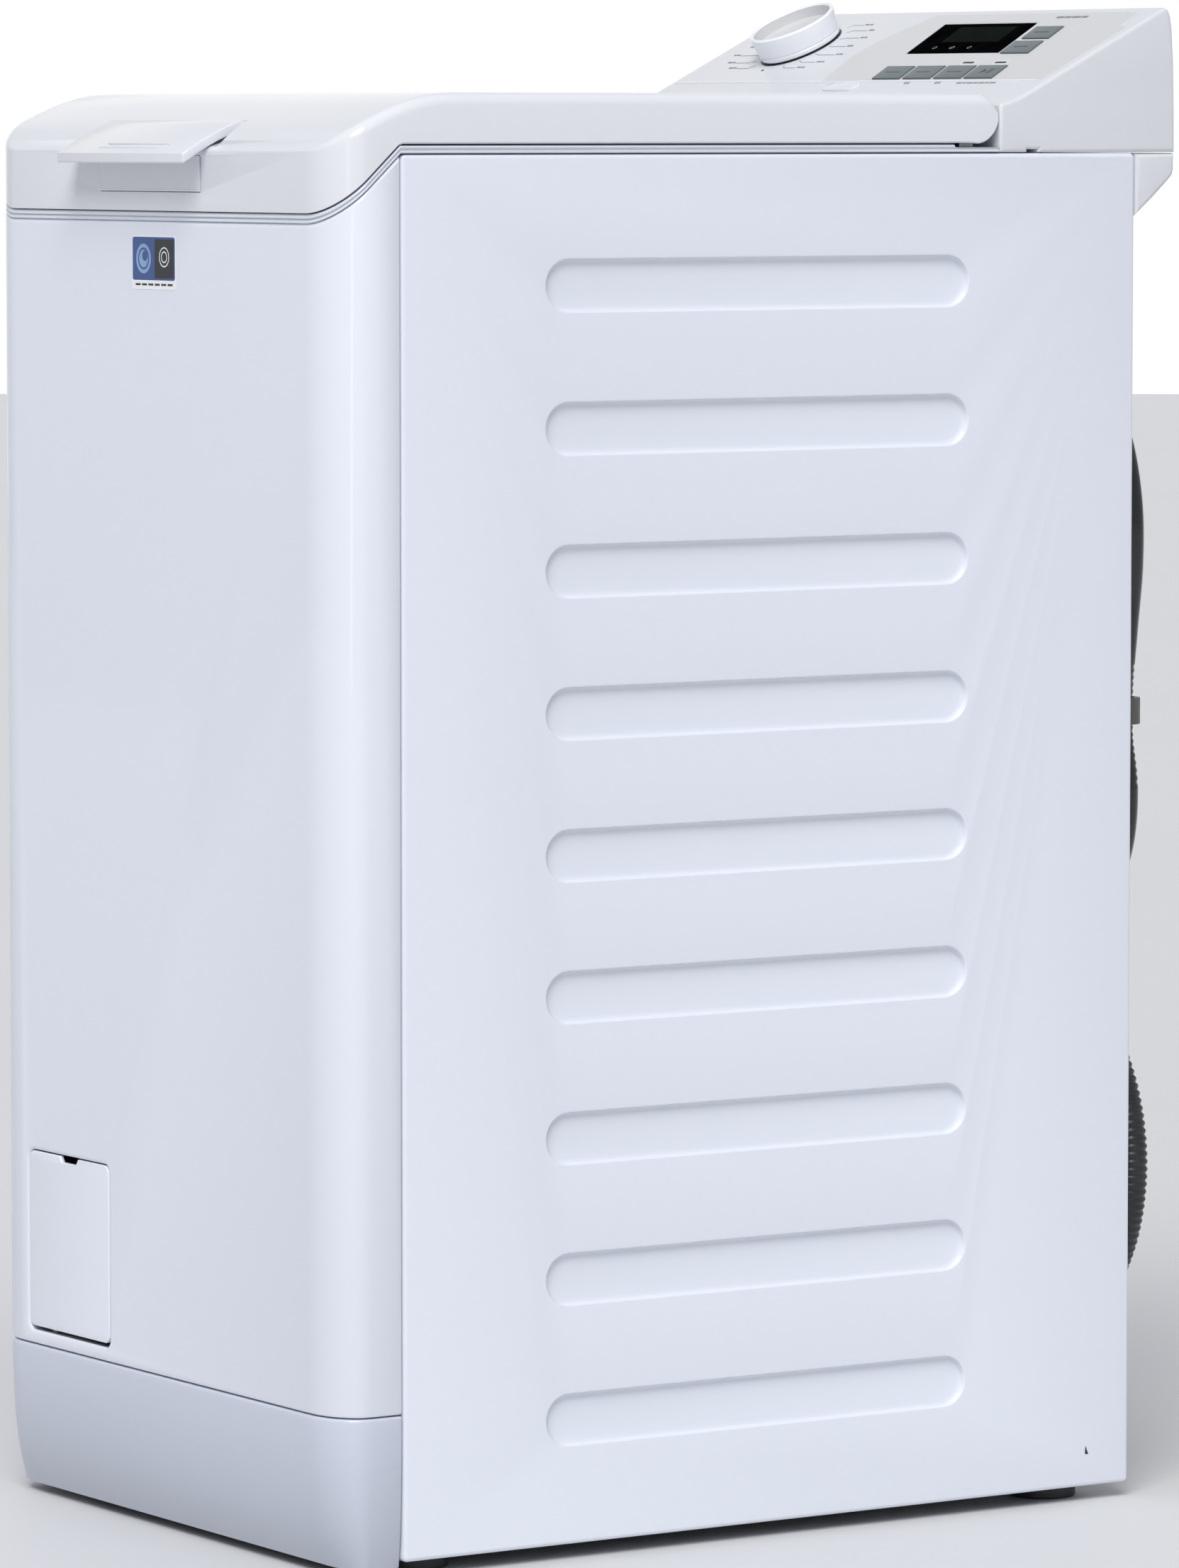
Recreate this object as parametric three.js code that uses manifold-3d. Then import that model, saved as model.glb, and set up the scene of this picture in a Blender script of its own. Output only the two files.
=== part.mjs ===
// Top-loading washing machine, 400 x 600 x 890 mm, built as an assembly of separate named pieces.
// Frame: millimetres, +X to the machine's right, -Y to the front, +Z up, origin on the floor under
// the centre of the cabinet. Each piece is one closed solid in its own mesh, and neighbours keep
// a gap of about 0.3 mm.
import * as THREE from 'three';
import { mergeVertices } from 'three/addons/utils/BufferGeometryUtils.js';
import Module from 'manifold-3d';

const wasm = await Module();
wasm.setup();

// ---- driving dimensions ----
const GAP = 0.3;
const HALF_W = 200;             // cabinet half width
const FRONT_Y = -283;           // face of the front panel
const REAR_Y = 270.3;           // rear edge of the side panels
const OVERHANG_Y = 300;         // rear face of the console overhang
const HANDLE_Y = -300;          // front edge of the lid handle
const TOP_Z = 890;              // top edge of the console
const SEAM_Y = -240;            // seam between the wrapped front and the side panels
const CORNER_X = 33;            // front corner radius across the width
const CORNER_Y = 22;            // front corner radius along the depth
const SHEET = 1.2;              // steel sheet
const WALL = 2.5;               // moulded plastic wall
const SIDE_BOTTOM_Z = 9;
const SIDE_TOP_Z = 804.3;
const PLINTH_TOP_Z = 93;
const PLINTH_BOTTOM_Z = 6;
const TRIM_Z = 764.6;           // top edge of the front panel at the front face
const TRIM_T = 4.6;             // height of the light band under the lid
const LID_TOP_Z = 839;
const LID_FRONT_TOP_Z = 806;
const LID_SIDE = 199.6;
const HINGE = { y: 154.6, z: 825, r: 4, well: 1.5 };
const RIB = { count: 9, length: 293.5, height: 30, depth: 4, y: 2.8, top: 730, pitch: 81.1, slope: 3 };

// console face: x across, s up the slope, n out of the face
const FACE = { y: 200.3, z: 844.2, angle: THREE.MathUtils.degToRad(26.45) };
const KEY_SKEW = -0.25;         // keys and display lean by this much x for each mm up the slope
const DIAL = { x: -121, s: 56, r: 26, top: 28, cup: 25, h: 17.5, depth: 8 };
const DISPLAY = { x: 50.5, s: 64.5, w: 95, h: 40 };
const KEYS = [
  ['programme_key_1', 28.2, 17.6, 28.4, 16.6],
  ['programme_key_2', 60.2, 17.6, 28.4, 16.6],
  ['programme_key_3', 92, 17.6, 28, 16.6],
  ['programme_key_4', 123.6, 17.6, 28.4, 16.6],
  ['delay_key', 118.8, 51, 28.4, 16],
  ['start_key', 115.8, 70.8, 27, 16],
];
const POWER = { x: -3, s: -1.2, w: 34, h: 11 };

// drum and tub, turning about an axis along X
const AXIS = { y: -5, z: 425 };
const DRUM = { r: 232, half: 138, t: 1.5, openX: 112, openAngle: 23.4 };
const PADDLES = [100, 180, 260];        // degrees about the drum's axis from straight up
const TUB = { r: 245, t: 5, half: 145, side: 7 };
const NECK = { x: 128, y: 115, t: 3, top: 718 };
const MOUTH = { x: 130, y: 115, collar: 765 };
const SHAFT_R = 14;
const PULLEY = { r: 135, x0: 163, x1: 175 };
const MOTOR = { y: 140, z: 112, r: 52, x0: -60, x1: 118, pulley: 12 };
const SPRING = { x: 170, r: 9, low: 604, high: 742 };
const DAMPER = { x: 110, rod: 5, tube: 12, bore: 8, tubeLow: 36, tubeHigh: 125, rodLow: 92, rodHigh: 176 };

// base, feet, pump and filter
const BASE = { x: 196, y0: -236, y1: 262, z0: 12, z1: 60, t: 3 };
const FOOT = { x: 165, front: -212, rear: 232, r: 20, h: 9, stem: 5 };
const FILTER = { x: -109, z: 155, r: 27 };
const FILTER_DOOR = { x0: -157, x1: -61, z0: 104.5, z1: 210 };
const SUMP = { y: -165, r: 15, bore: 11, low: 180, high: 228 };

// hoses on the back
const HOSE_Y = 283;
const DRAIN = { r: 10.5, startX: -105, endX: -28, arcX: 70, arcZ: 202, radius: 120, pitch: 26 };
const INLET = { r: 8, x: 120, top: 749, endX: -180, endZ: 292 };

// ---- solids from three.js geometry ----
function toSolid(geometry) {
  const bare = geometry.index ? geometry.toNonIndexed() : geometry.clone();
  for (const name of Object.keys(bare.attributes)) {
    if (name !== 'position') bare.deleteAttribute(name);
  }
  const merged = mergeVertices(bare, 1e-3);
  const mesh = new wasm.Mesh({
    numProp: 3,
    vertProperties: new Float32Array(merged.attributes.position.array),
    triVerts: new Uint32Array(merged.index.array),
  });
  return new wasm.Manifold(mesh);
}

function toGeometry(solid) {
  const mesh = solid.getMesh();
  const geometry = new THREE.BufferGeometry();
  geometry.setAttribute('position', new THREE.BufferAttribute(mesh.vertProperties, 3));
  geometry.setIndex(new THREE.BufferAttribute(mesh.triVerts, 1));
  geometry.computeVertexNormals();
  return geometry;
}

const join = (first, ...rest) => rest.reduce((a, b) => a.add(b), first);
const cut = (first, ...rest) => rest.reduce((a, b) => a.subtract(b), first);

function box(x0, x1, y0, y1, z0, z1) {
  const g = new THREE.BoxGeometry(x1 - x0, y1 - y0, z1 - z0);
  return toSolid(g.translate((x0 + x1) / 2, (y0 + y1) / 2, (z0 + z1) / 2));
}

// A prism of an outline. The outline's (u, v) are (x, y) for axis z, (y, z) for axis x, (x, z) for y.
function prism(axis, outline, from, to) {
  const flat = axis === 'y' ? outline.map(([u, v]) => [v, u]) : outline;
  const shape = new THREE.Shape(flat.map(([u, v]) => new THREE.Vector2(u, v)));
  const g = new THREE.ExtrudeGeometry(shape, { depth: to - from, bevelEnabled: false });
  g.translate(0, 0, from);
  const turn = new THREE.Matrix4();
  if (axis === 'x') turn.set(0, 0, 1, 0, 1, 0, 0, 0, 0, 1, 0, 0, 0, 0, 0, 1);
  if (axis === 'y') turn.set(0, 1, 0, 0, 0, 0, 1, 0, 1, 0, 0, 0, 0, 0, 0, 1);
  return toSolid(g.applyMatrix4(turn));
}

function rod(axis, r, a, b, from, to, sides = 24) {
  const outline = arc(a, b, r, r, 0, 360 - 360 / sides, sides - 1);
  return prism(axis, outline, from, to);
}

// Points of an elliptical arc, in degrees, with n steps.
function arc(u, v, ru, rv, a0, a1, n) {
  return Array.from({ length: n + 1 }, (_, i) => {
    const a = THREE.MathUtils.degToRad(a0 + ((a1 - a0) * i) / n);
    return [u + ru * Math.cos(a), v + rv * Math.sin(a)];
  });
}

function roundedBox(u0, u1, v0, v1, r, n = 4) {
  return [
    ...arc(u1 - r, v1 - r, r, r, 0, 90, n),
    ...arc(u0 + r, v1 - r, r, r, 90, 180, n),
    ...arc(u0 + r, v0 + r, r, r, 180, 270, n),
    ...arc(u1 - r, v0 + r, r, r, 270, 360, n),
  ];
}

// A solid through rings with the same number of points, listed counter-clockwise seen from the last.
function loft(rings) {
  const n = rings[0].length;
  const position = rings.flat(2);
  const index = [];
  for (let k = 0; k + 1 < rings.length; k++) {
    for (let i = 0; i < n; i++) {
      const a = k * n + i;
      const b = k * n + ((i + 1) % n);
      index.push(a, b, b + n, a, b + n, a + n);
    }
  }
  const last = (rings.length - 1) * n;
  for (let i = 1; i + 1 < n; i++) {
    index.push(0, i + 1, i);
    index.push(last, last + i, last + i + 1);
  }
  const g = new THREE.BufferGeometry();
  g.setAttribute('position', new THREE.Float32BufferAttribute(position, 3));
  g.setIndex(index);
  return toSolid(g);
}

const group = new THREE.Group();
group.name = 'top_load_washing_machine';

const paint = { color: 0xe6eaf2, roughness: 0.25, metalness: 0 };
const white = { color: 0xeceff4, roughness: 0.3, metalness: 0 };
const trim = { color: 0xcfd4da, roughness: 0.45, metalness: 0 };
const grey = { color: 0x6c797c, roughness: 0.4, metalness: 0 };
const dark = { color: 0x1c1f21, roughness: 0.5, metalness: 0 };
const rubber = { color: 0x232525, roughness: 0.7, metalness: 0 };
const steel = { color: 0xc4c8cb, roughness: 0.3, metalness: 0.9 };
const tubGrey = { color: 0x9aa0a4, roughness: 0.6, metalness: 0 };
const concrete = { color: 0x8f8d88, roughness: 0.95, metalness: 0 };
const board = { color: 0x2f6b45, roughness: 0.6, metalness: 0 };

function add(name, solid, look, parent = group) {
  const mesh = new THREE.Mesh(toGeometry(solid), new THREE.MeshStandardMaterial(look));
  mesh.name = name;
  parent.add(mesh);
}

// ---- plan outline of the cabinet ----
function frontPlan(inset, backY, taper = 1) {
  const x = HALF_W - inset * taper;
  const y = FRONT_Y + inset;
  const rx = CORNER_X - inset * taper;
  const ry = CORNER_Y - inset;
  return [
    [x, backY],
    [-x, backY],
    ...arc(-x + rx, y + ry, rx, ry, 180, 270, 7),
    ...arc(x - rx, y + ry, rx, ry, 270, 360, 7),
  ];
}

// ---- cabinet ----
function ribSlot(side, inset, x) {
  const half = RIB.height / 2 - inset;
  const run = RIB.length / 2 - RIB.height / 2;
  const ring = [
    ...arc(RIB.y + run, 0, half, half, -90, 90, 4),
    ...arc(RIB.y - run, 0, half, half, 90, 270, 4),
  ];
  return (z) => ring.map(([y, v]) => [side * x, y, z + v]);
}

function pressedRib(side, z, outerX, innerX, grow) {
  const outer = ribSlot(side, -grow, outerX)(z);
  const inner = ribSlot(side, RIB.slope - grow, innerX)(z);
  return side > 0 ? loft([inner, outer]) : loft([outer.reverse(), inner.reverse()].reverse());
}

function sidePanel(side) {
  const [inner, outer] = [HALF_W - SHEET, HALF_W];
  const across = (a, b) => (side > 0 ? [a, b] : [-b, -a]);
  const plate = box(...across(inner, outer), SEAM_Y + 0.4, REAR_Y, SIDE_BOTTOM_Z, SIDE_TOP_Z);
  const rearFlange = box(...across(180, inner + 0.1), 267, 268.4, 30, 760);
  const frontFlange = box(...across(188, inner + 0.1), SEAM_Y + 0.4, SEAM_Y + 1.6, 30, 760);
  const bracket = box(...across(158, inner + 0.1), -20, 10, SPRING.high, SPRING.high + 4);
  let panel = join(plate, rearFlange, frontFlange, bracket);
  for (let i = 0; i < RIB.count; i++) {
    const z = RIB.top - i * RIB.pitch;
    panel = panel.add(pressedRib(side, z, inner + 0.2, inner - RIB.depth, 1.2));
  }
  for (let i = 0; i < RIB.count; i++) {
    const z = RIB.top - i * RIB.pitch;
    panel = panel.subtract(pressedRib(side, z, outer + 0.2, outer - RIB.depth, 0));
  }
  return panel;
}

const trimLine = (y) => TRIM_Z + (y - FRONT_Y) * ((SIDE_TOP_Z - TRIM_Z) / (SEAM_Y - FRONT_Y));

function frontPanel() {
  const outer = prism('z', frontPlan(0, SEAM_Y - 0.2), PLINTH_TOP_Z + 0.5, SIDE_TOP_Z);
  const inner = prism('z', frontPlan(1.5, 0), 0, 900);
  const above = prism('x', [
    [-320, trimLine(-320)],
    [-200, trimLine(-200)],
    [-200, 900],
    [-320, 900],
  ], -250, 250);
  const d = FILTER_DOOR;
  const doorHole = prism('y', roundedBox(d.x0 - 0.6, d.x1 + 0.6, d.z0 - 2.5, d.z1 + 0.6, 6), -300, -270);
  return cut(outer, inner, above, doorHole);
}

function plinth() {
  const insets = [[PLINTH_BOTTOM_Z, 11.8], [15, 8.7], [28, 5.1], [47, 2.3], [70, 0.6], [PLINTH_TOP_Z, 0]];
  const rings = (extra, low, high) => insets.map(([z, inset], i) => {
    const height = i === 0 ? z + low : i === insets.length - 1 ? z + high : z;
    return frontPlan(inset + extra, extra ? 0 : SEAM_Y - 0.2, 0.3).map(([x, y]) => [x, y, height]);
  });
  return cut(loft(rings(0, 0, 0)), loft(rings(2.5, -1, 1)));
}

function baseTray() {
  const b = BASE;
  const outer = box(-b.x, b.x, b.y0, b.y1, b.z0, b.z1);
  const inner = box(-b.x + b.t, b.x - b.t, b.y0 + b.t, b.y1 - b.t, b.z0 + b.t, b.z1 + 1);
  let tray = outer.subtract(inner);
  for (const x of [-FOOT.x, FOOT.x]) {
    for (const y of [FOOT.front, FOOT.rear]) {
      tray = tray.add(rod('z', 13, x, y, b.z0, 44, 12));
      tray = tray.subtract(rod('z', FOOT.stem + 0.6, x, y, b.z0 - 1, 90, 12));
    }
  }
  const vent = (x) => box(x - 30, x + 30, -110, 60, b.z0 - 1, b.z0 + b.t + 1);
  return cut(tray, vent(-45), vent(45));
}

function foot(x, y) {
  const pad = rod('z', FOOT.r, x, y, 0, FOOT.h, 20);
  return pad.add(rod('z', FOOT.stem, x, y, FOOT.h - 1, 42, 12));
}

function backPanel() {
  const sheet = box(-196, 196, 268.8, 270, 34, 765);
  const stiffener = (z) => box(-150, 150, 266.4, 269, z, z + 12);
  return join(sheet, stiffener(300), stiffener(520));
}

function topFrame() {
  const high = (y) => trimLine(y) + TRIM_T + 0.6;
  const low = (y) => trimLine(y) + 0.5;
  const top = SIDE_TOP_Z + TRIM_T + 0.3;
  const profile = [
    [FRONT_Y - 5, low(FRONT_Y - 5)],
    [SEAM_Y, SIDE_TOP_Z + 0.4],
    [262, SIDE_TOP_Z + 0.4 - 6],
    [262, SIDE_TOP_Z - 0.1],
    [171.6, SIDE_TOP_Z - 0.1],
    [171.6, top - HINGE.well],
    [HINGE.y - 15, top - HINGE.well],
    [HINGE.y - 16, top],
    [SEAM_Y - 0.5, top],
    [FRONT_Y - 5, high(FRONT_Y - 5)],
  ];
  const rim = prism('x', profile.map(([y, z]) => [y, Math.max(z, 700)]), -199.8, 199.8);
  const plan = prism('z', frontPlan(0.1, 262), 700, 830);
  const round = (grow, low, high) => box(
    -MOUTH.x - grow, MOUTH.x + grow, AXIS.y - MOUTH.y - grow, AXIS.y + MOUTH.y + grow, low, high);
  const collar = round(3, MOUTH.collar, 805);
  const mouth = round(0, 700, 830);
  const tray = box(-112, 112, -228.4, -131.6, 700, 830);
  const sideClear = (a, b) => box(a, b, SEAM_Y - 1, 300, 700, SIDE_TOP_Z + 0.4);
  const body = join(rim.intersect(plan), collar);
  return cut(body, mouth, tray, sideClear(198.4, 210), sideClear(-210, -198.4));
}

function dispenserTray() {
  const tray = box(-111.6, 111.6, -228, -132, 756, 808.6);
  const bays = [[-109, -42], [-39.5, 39.5], [42, 109]];
  return cut(tray, ...bays.map(([a, b]) => box(a, b, -225.5, -134.5, 759, 820)));
}

// ---- console ----
const consoleProfile = [
  [172, SIDE_TOP_Z + 0.4],
  [OVERHANG_Y, SIDE_TOP_Z + 0.4],
  [OVERHANG_Y - 2.5, 882],
  [OVERHANG_Y - 4.2, 888],
  [OVERHANG_Y - 8, TOP_Z],
  [FACE.y, FACE.z],
  [190, 839],
  [181, 835.4],
  [172, 833.5],
];
const consoleHollow = [
  [172 + WALL, SIDE_TOP_Z - 5],
  [OVERHANG_Y - WALL, SIDE_TOP_Z - 5],
  [OVERHANG_Y - 2.5 - WALL, 880],
  [OVERHANG_Y - 9.5, 886.4],
  [FACE.y + 1.2, FACE.z - 2.2],
  [190.8, 836.4],
  [181.6, 832.6],
  [172 + WALL, 831],
];

const onFace = new THREE.Matrix4()
  .makeTranslation(0, FACE.y, FACE.z)
  .multiply(new THREE.Matrix4().makeRotationX(FACE.angle));

// A prism standing on the console face, from n0 to n1 along the face's normal.
function facePrism(outline, n0, n1) {
  const shape = new THREE.Shape(outline.map(([u, v]) => new THREE.Vector2(u, v)));
  const g = new THREE.ExtrudeGeometry(shape, { depth: n1 - n0, bevelEnabled: false });
  return toSolid(g.translate(0, 0, n0).applyMatrix4(onFace));
}

function keyOutline(x, s, w, h, grow = 0) {
  const [a, b] = [w / 2 + grow, h / 2 + grow];
  const lean = (v) => KEY_SKEW * v;
  return [
    [x - a + lean(-b), s - b],
    [x + a + lean(-b), s - b],
    [x + a + lean(b), s + b],
    [x - a + lean(b), s + b],
  ];
}

const pillOutline = (grow = 0) => {
  const r = POWER.h / 2 + grow;
  const run = POWER.w / 2 - POWER.h / 2;
  return [...arc(POWER.x + run, POWER.s, r, r, -90, 90, 8), ...arc(POWER.x - run, POWER.s, r, r, 90, 270, 8)];
};

function consoleHousing() {
  const outer = prism('x', consoleProfile, -HALF_W, HALF_W);
  const inner = prism('x', consoleHollow, -HALF_W + WALL, HALF_W - WALL);
  const holes = KEYS.map(([, x, s, w, h]) => facePrism(keyOutline(x, s, w, h, 0.5), -8, 8));
  const d = DISPLAY;
  const window = facePrism(keyOutline(d.x, d.s, d.w, d.h, 0.4), -8, 8);
  const shaft = facePrism(arc(DIAL.x, DIAL.s, 4.2, 4.2, 0, 345, 23), -8, 8);
  return cut(outer, inner, window, shaft, facePrism(pillOutline(0.5), -8, 8), ...holes);
}

function rearCover() {
  const outline = [
    [270.8, 766.4], [285, 778], [297, 789], [299.4, 791.5], [OVERHANG_Y, 794.5],
    [OVERHANG_Y, SIDE_TOP_Z], [270.8, SIDE_TOP_Z],
  ];
  const hollow = [
    [268, 767.5], [284, 780.6], [295.5, 791], [OVERHANG_Y - WALL, 795], [OVERHANG_Y - WALL, 810], [268, 810],
  ];
  const shell = cut(prism('x', outline, -HALF_W, HALF_W), prism('x', hollow, -HALF_W + WALL, HALF_W - WALL));
  return cut(shell, rod('z', 10.5, INLET.x, HOSE_Y + 2, 750, 800), rod('z', 8.6, -150, 285, 750, 800));
}

function dial() {
  const disc = (r, n0, n1, sides) => facePrism(
    arc(DIAL.x, DIAL.s, r, r, 0, 360 - 360 / sides, sides - 1), n0, n1);
  const skirt = disc(DIAL.r, 0.8, 5, 32);
  const cap = disc(DIAL.top, 4, DIAL.h, 32);
  const cup = disc(DIAL.cup, DIAL.h - DIAL.depth, DIAL.h + 5, 32);
  return join(cut(join(skirt, cap), cup), disc(3.6, -11, 2, 16));
}

function controlBoard() {
  const plate = facePrism([[-150, 8], [150, 8], [150, 92], [-150, 92]], -16, -14.4);
  const chip = (x, s, w, h) => facePrism(keyOutline(x, s, w, h), -14.8, -11.5);
  return join(plate, chip(0, 40, 16, 16), chip(70, 64, 80, 30), chip(DIAL.x, DIAL.s, 14, 14));
}

// ---- lid ----
const lidTop = [
  [158.6, LID_TOP_Z],
  [-200, LID_TOP_Z],
  [-216, 838.2],
  [-235, 834],
  [-247, 829.4],
  [-260, 823.6],
  [-272, 817.4],
  [-279.5, 811.6],
  [FRONT_Y, LID_FRONT_TOP_Z],
];
const lidUnder = (y) => trimLine(y) + TRIM_T + 1.4;

function lidOuter() {
  const profile = [
    ...arc(HINGE.y + 1, HINGE.z, 15, 15, -90, 0, 5),
    ...arc(HINGE.y + 4, HINGE.z + 2, 12, 12, 8, 90, 4),
    ...lidTop.slice(1),
    [FRONT_Y, lidUnder(FRONT_Y)],
    [SEAM_Y - 0.5, SIDE_TOP_Z + TRIM_T + 1],
  ];
  const hollow = [
    ...arc(HINGE.y + 1, HINGE.z, 12, 12, -80, 0, 4),
    ...arc(HINGE.y + 2, HINGE.z + 1, 11, 10, 8, 90, 3),
    [-199, LID_TOP_Z - 3],
    [-215, 835.2],
    [-234, 831],
    [-258, 820.6],
    [-271, 813.6],
    [FRONT_Y + 3, 804.5],
    [FRONT_Y + 3, lidUnder(FRONT_Y) - 5],
    [SEAM_Y, SIDE_TOP_Z + TRIM_T - 4],
    [HINGE.y, SIDE_TOP_Z + TRIM_T - 4],
  ];
  const side = LID_SIDE;
  const body = prism('x', profile, -side, side).intersect(prism('z', frontPlan(0.2, 180), 700, 850));
  const inside = prism('x', hollow, -side + 3, side - 3).intersect(prism('z', frontPlan(3.2, 180), 700, 850));
  let shell = body.subtract(inside);
  for (const s of [-1, 1]) {
    const [a, b] = s > 0 ? [190.6, side - 2] : [-side + 2, -190.6];
    const [low, high] = s > 0 ? [180, side - 2.6] : [-side + 2.6, -180];
    shell = shell.add(rod('x', 8, HINGE.y, HINGE.z, a, b, 16));
    shell = shell.subtract(rod('x', HINGE.r + 0.5, HINGE.y, HINGE.z, low, high, 16));
    const [c, d] = s > 0 ? [185, 190.4] : [-190.4, -185];
    shell = shell.subtract(box(c, d, 146, 175, 800, 833));
  }
  return shell.subtract(box(-66.6, 51.6, -290, -275, 781.4, 803));
}

function lidInner() {
  const base = lidUnder(SEAM_Y) + 1;
  const strip = [
    [FRONT_Y + 6, lidUnder(FRONT_Y + 6) + 1],
    [SEAM_Y, base],
    [138, base],
    [138, base + WALL],
    [SEAM_Y, base + WALL],
    [FRONT_Y + 6, lidUnder(FRONT_Y + 6) + 1 + WALL],
  ];
  const plan = prism('z', frontPlan(5, 180), 700, 850);
  const dome = box(-120, 120, -110, 100, base + 1, base + 12);
  const domeHollow = box(-117, 117, -107, 97, base - 5, base + 9);
  const pocketRoom = box(-67, 52, FRONT_Y - 5, -254, 700, 808);
  return cut(join(prism('x', strip, -195, 195).intersect(plan), dome), domeHollow, pocketRoom);
}

function lidHandle() {
  const lip = [
    [HANDLE_Y, 798.4],
    [FRONT_Y - 0.4, 800.2],
    [FRONT_Y - 0.4, LID_FRONT_TOP_Z + 0.2],
    [-280, 812],
    [-272.3, 818],
    [-262, 823.2],
    [-259, 826.4],
    [-272, 822.6],
    [-284, 816.6],
    [-293, 810],
    [HANDLE_Y, 803.6],
  ];
  const pocket = [[FRONT_Y - 1, 782], [-271.5, 782], [-256, 796.6], [-256, 802.4], [FRONT_Y - 1, 802.4]];
  const mouth = [[-310, 784], [-272.4, 784], [-258, 797.6], [-258, 800.2], [-310, 800.2]];
  return join(prism('x', lip, -86, 60), cut(prism('x', pocket, -66, 51), prism('x', mouth, -63.8, 48.8)));
}

function hingeBracket(side) {
  const [a, b] = side > 0 ? [185.8, 189.6] : [-189.6, -185.8];
  const [c, d] = side > 0 ? [186, 196.2] : [-196.2, -186];
  const floor = SIDE_TOP_Z + TRIM_T + 0.3 - HINGE.well + GAP;
  const post = box(a, b, HINGE.y - 5, HINGE.y + 5, floor, HINGE.z + 4);
  return post.add(rod('x', HINGE.r, HINGE.y, HINGE.z, c, d, 16));
}

// ---- tub ----
function tubShell() {
  const [r, t, h] = [TUB.r, TUB.t, TUB.half];
  const sides = 48;
  const barrel = rod('x', r, AXIS.y, AXIS.z, -h, h, sides);
  const neck = box(-NECK.x, NECK.x, AXIS.y - NECK.y, AXIS.y + NECK.y, AXIS.z + 190, NECK.top);
  const stub = rod('z', SUMP.r, FILTER.x, SUMP.y, SUMP.high, 260, 16);
  const [nx, ny] = [NECK.x - NECK.t, NECK.y - NECK.t];
  const hollow = rod('x', r - t, AXIS.y, AXIS.z, -h - 1, h + 1, sides);
  const throat = box(-nx, nx, AXIS.y - ny, AXIS.y + ny, AXIS.z, NECK.top + 1);
  const drain = rod('z', SUMP.bore, FILTER.x, SUMP.y, SUMP.high - 1, 300, 16);
  return cut(join(barrel, neck, stub), hollow, throat, drain);
}

function tubSide(side) {
  const x0 = TUB.half + GAP;
  const x1 = x0 + TUB.side;
  const place = (a, b) => (side > 0 ? [a, b] : [-b, -a]);
  let disc = rod('x', TUB.r, AXIS.y, AXIS.z, ...place(x0, x1), 48);
  disc = disc.add(rod('x', 34, AXIS.y, AXIS.z, ...place(x0, x1 + 4), 24));
  disc = disc.add(box(...place(x1 - 1, SPRING.x + 12), AXIS.y - 15, AXIS.y + 15, SPRING.low - 4, SPRING.low));
  for (let i = 0; i < 8; i++) {
    const a = (i + 0.5) * (Math.PI / 4);
    const g = new THREE.BoxGeometry(4, 6, 190);
    g.translate(0, 0, 130).rotateX(a).translate(side * (x1 + 1), AXIS.y, AXIS.z);
    disc = disc.add(toSolid(g));
  }
  return disc.subtract(rod('x', SHAFT_R + 0.8, AXIS.y, AXIS.z, -200, 200, 32));
}

function counterweight() {
  const outer = arc(AXIS.y, AXIS.z, 270, 270, 195, 224, 6);
  const inner = arc(AXIS.y, AXIS.z, TUB.r + 0.8, TUB.r + 0.8, 224, 195, 6);
  return prism('x', [...outer, ...inner], -78, 100);
}

function motor() {
  const body = rod('x', MOTOR.r, MOTOR.y, MOTOR.z, MOTOR.x0, MOTOR.x1, 24);
  const boss = rod('x', 22, MOTOR.y, MOTOR.z, MOTOR.x0 - 14, MOTOR.x1 + 14, 16);
  const hanger = (x) => prism('x', [[98, 150], [150, 160], [132, 216], [98, 196]], x, x + 14);
  const shaftHole = rod('x', 6, MOTOR.y, MOTOR.z, MOTOR.x1 - 20, MOTOR.x1 + 20, 16);
  return cut(join(body, boss, hanger(-40), hanger(80)), shaftHole);
}

function motorPulley() {
  const wheel = rod('x', MOTOR.pulley, MOTOR.y, MOTOR.z, PULLEY.x0, PULLEY.x1, 24);
  return wheel.add(rod('x', 5, MOTOR.y, MOTOR.z, MOTOR.x1 - 18, PULLEY.x1 + 4, 16));
}

// The outline of a belt round two wheels, as the tangent hull of two circles.
function beltOutline(r1, r2) {
  const dy = MOTOR.y - AXIS.y;
  const dz = MOTOR.z - AXIS.z;
  const toward = THREE.MathUtils.radToDeg(Math.atan2(dz, dy));
  const open = THREE.MathUtils.radToDeg(Math.acos((r1 - r2) / Math.hypot(dy, dz)));
  return [
    ...arc(AXIS.y, AXIS.z, r1, r1, toward + open, toward + 360 - open, 36),
    ...arc(MOTOR.y, MOTOR.z, r2, r2, toward - open, toward + open, 14),
  ];
}

function belt() {
  const outer = prism('x', beltOutline(PULLEY.r + 3.6, MOTOR.pulley + 3.6), 165, 173);
  return outer.subtract(prism('x', beltOutline(PULLEY.r + 0.9, MOTOR.pulley + 0.9), 160, 180));
}

function damperTube(x) {
  const tube = rod('z', DAMPER.tube, x, AXIS.y, DAMPER.tubeLow, DAMPER.tubeHigh, 16);
  const foot = box(x - 14, x + 14, AXIS.y + 66, AXIS.y + 92, BASE.z0 + BASE.t + GAP, 24);
  const bridge = box(x - 10, x + 10, AXIS.y - 5, AXIS.y + 90, 24 - 1, DAMPER.tubeLow + 3);
  const bore = rod('z', DAMPER.bore, x, AXIS.y, DAMPER.tubeLow + 6, 200, 16);
  return cut(join(tube, foot, bridge), bore);
}

function damperRod(x) {
  const shaft = rod('z', DAMPER.rod, x, AXIS.y, DAMPER.rodLow, DAMPER.rodHigh, 12);
  return shaft.add(rod('z', 12, x, AXIS.y, DAMPER.rodHigh - 6, DAMPER.rodHigh + 3.4, 16));
}

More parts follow.
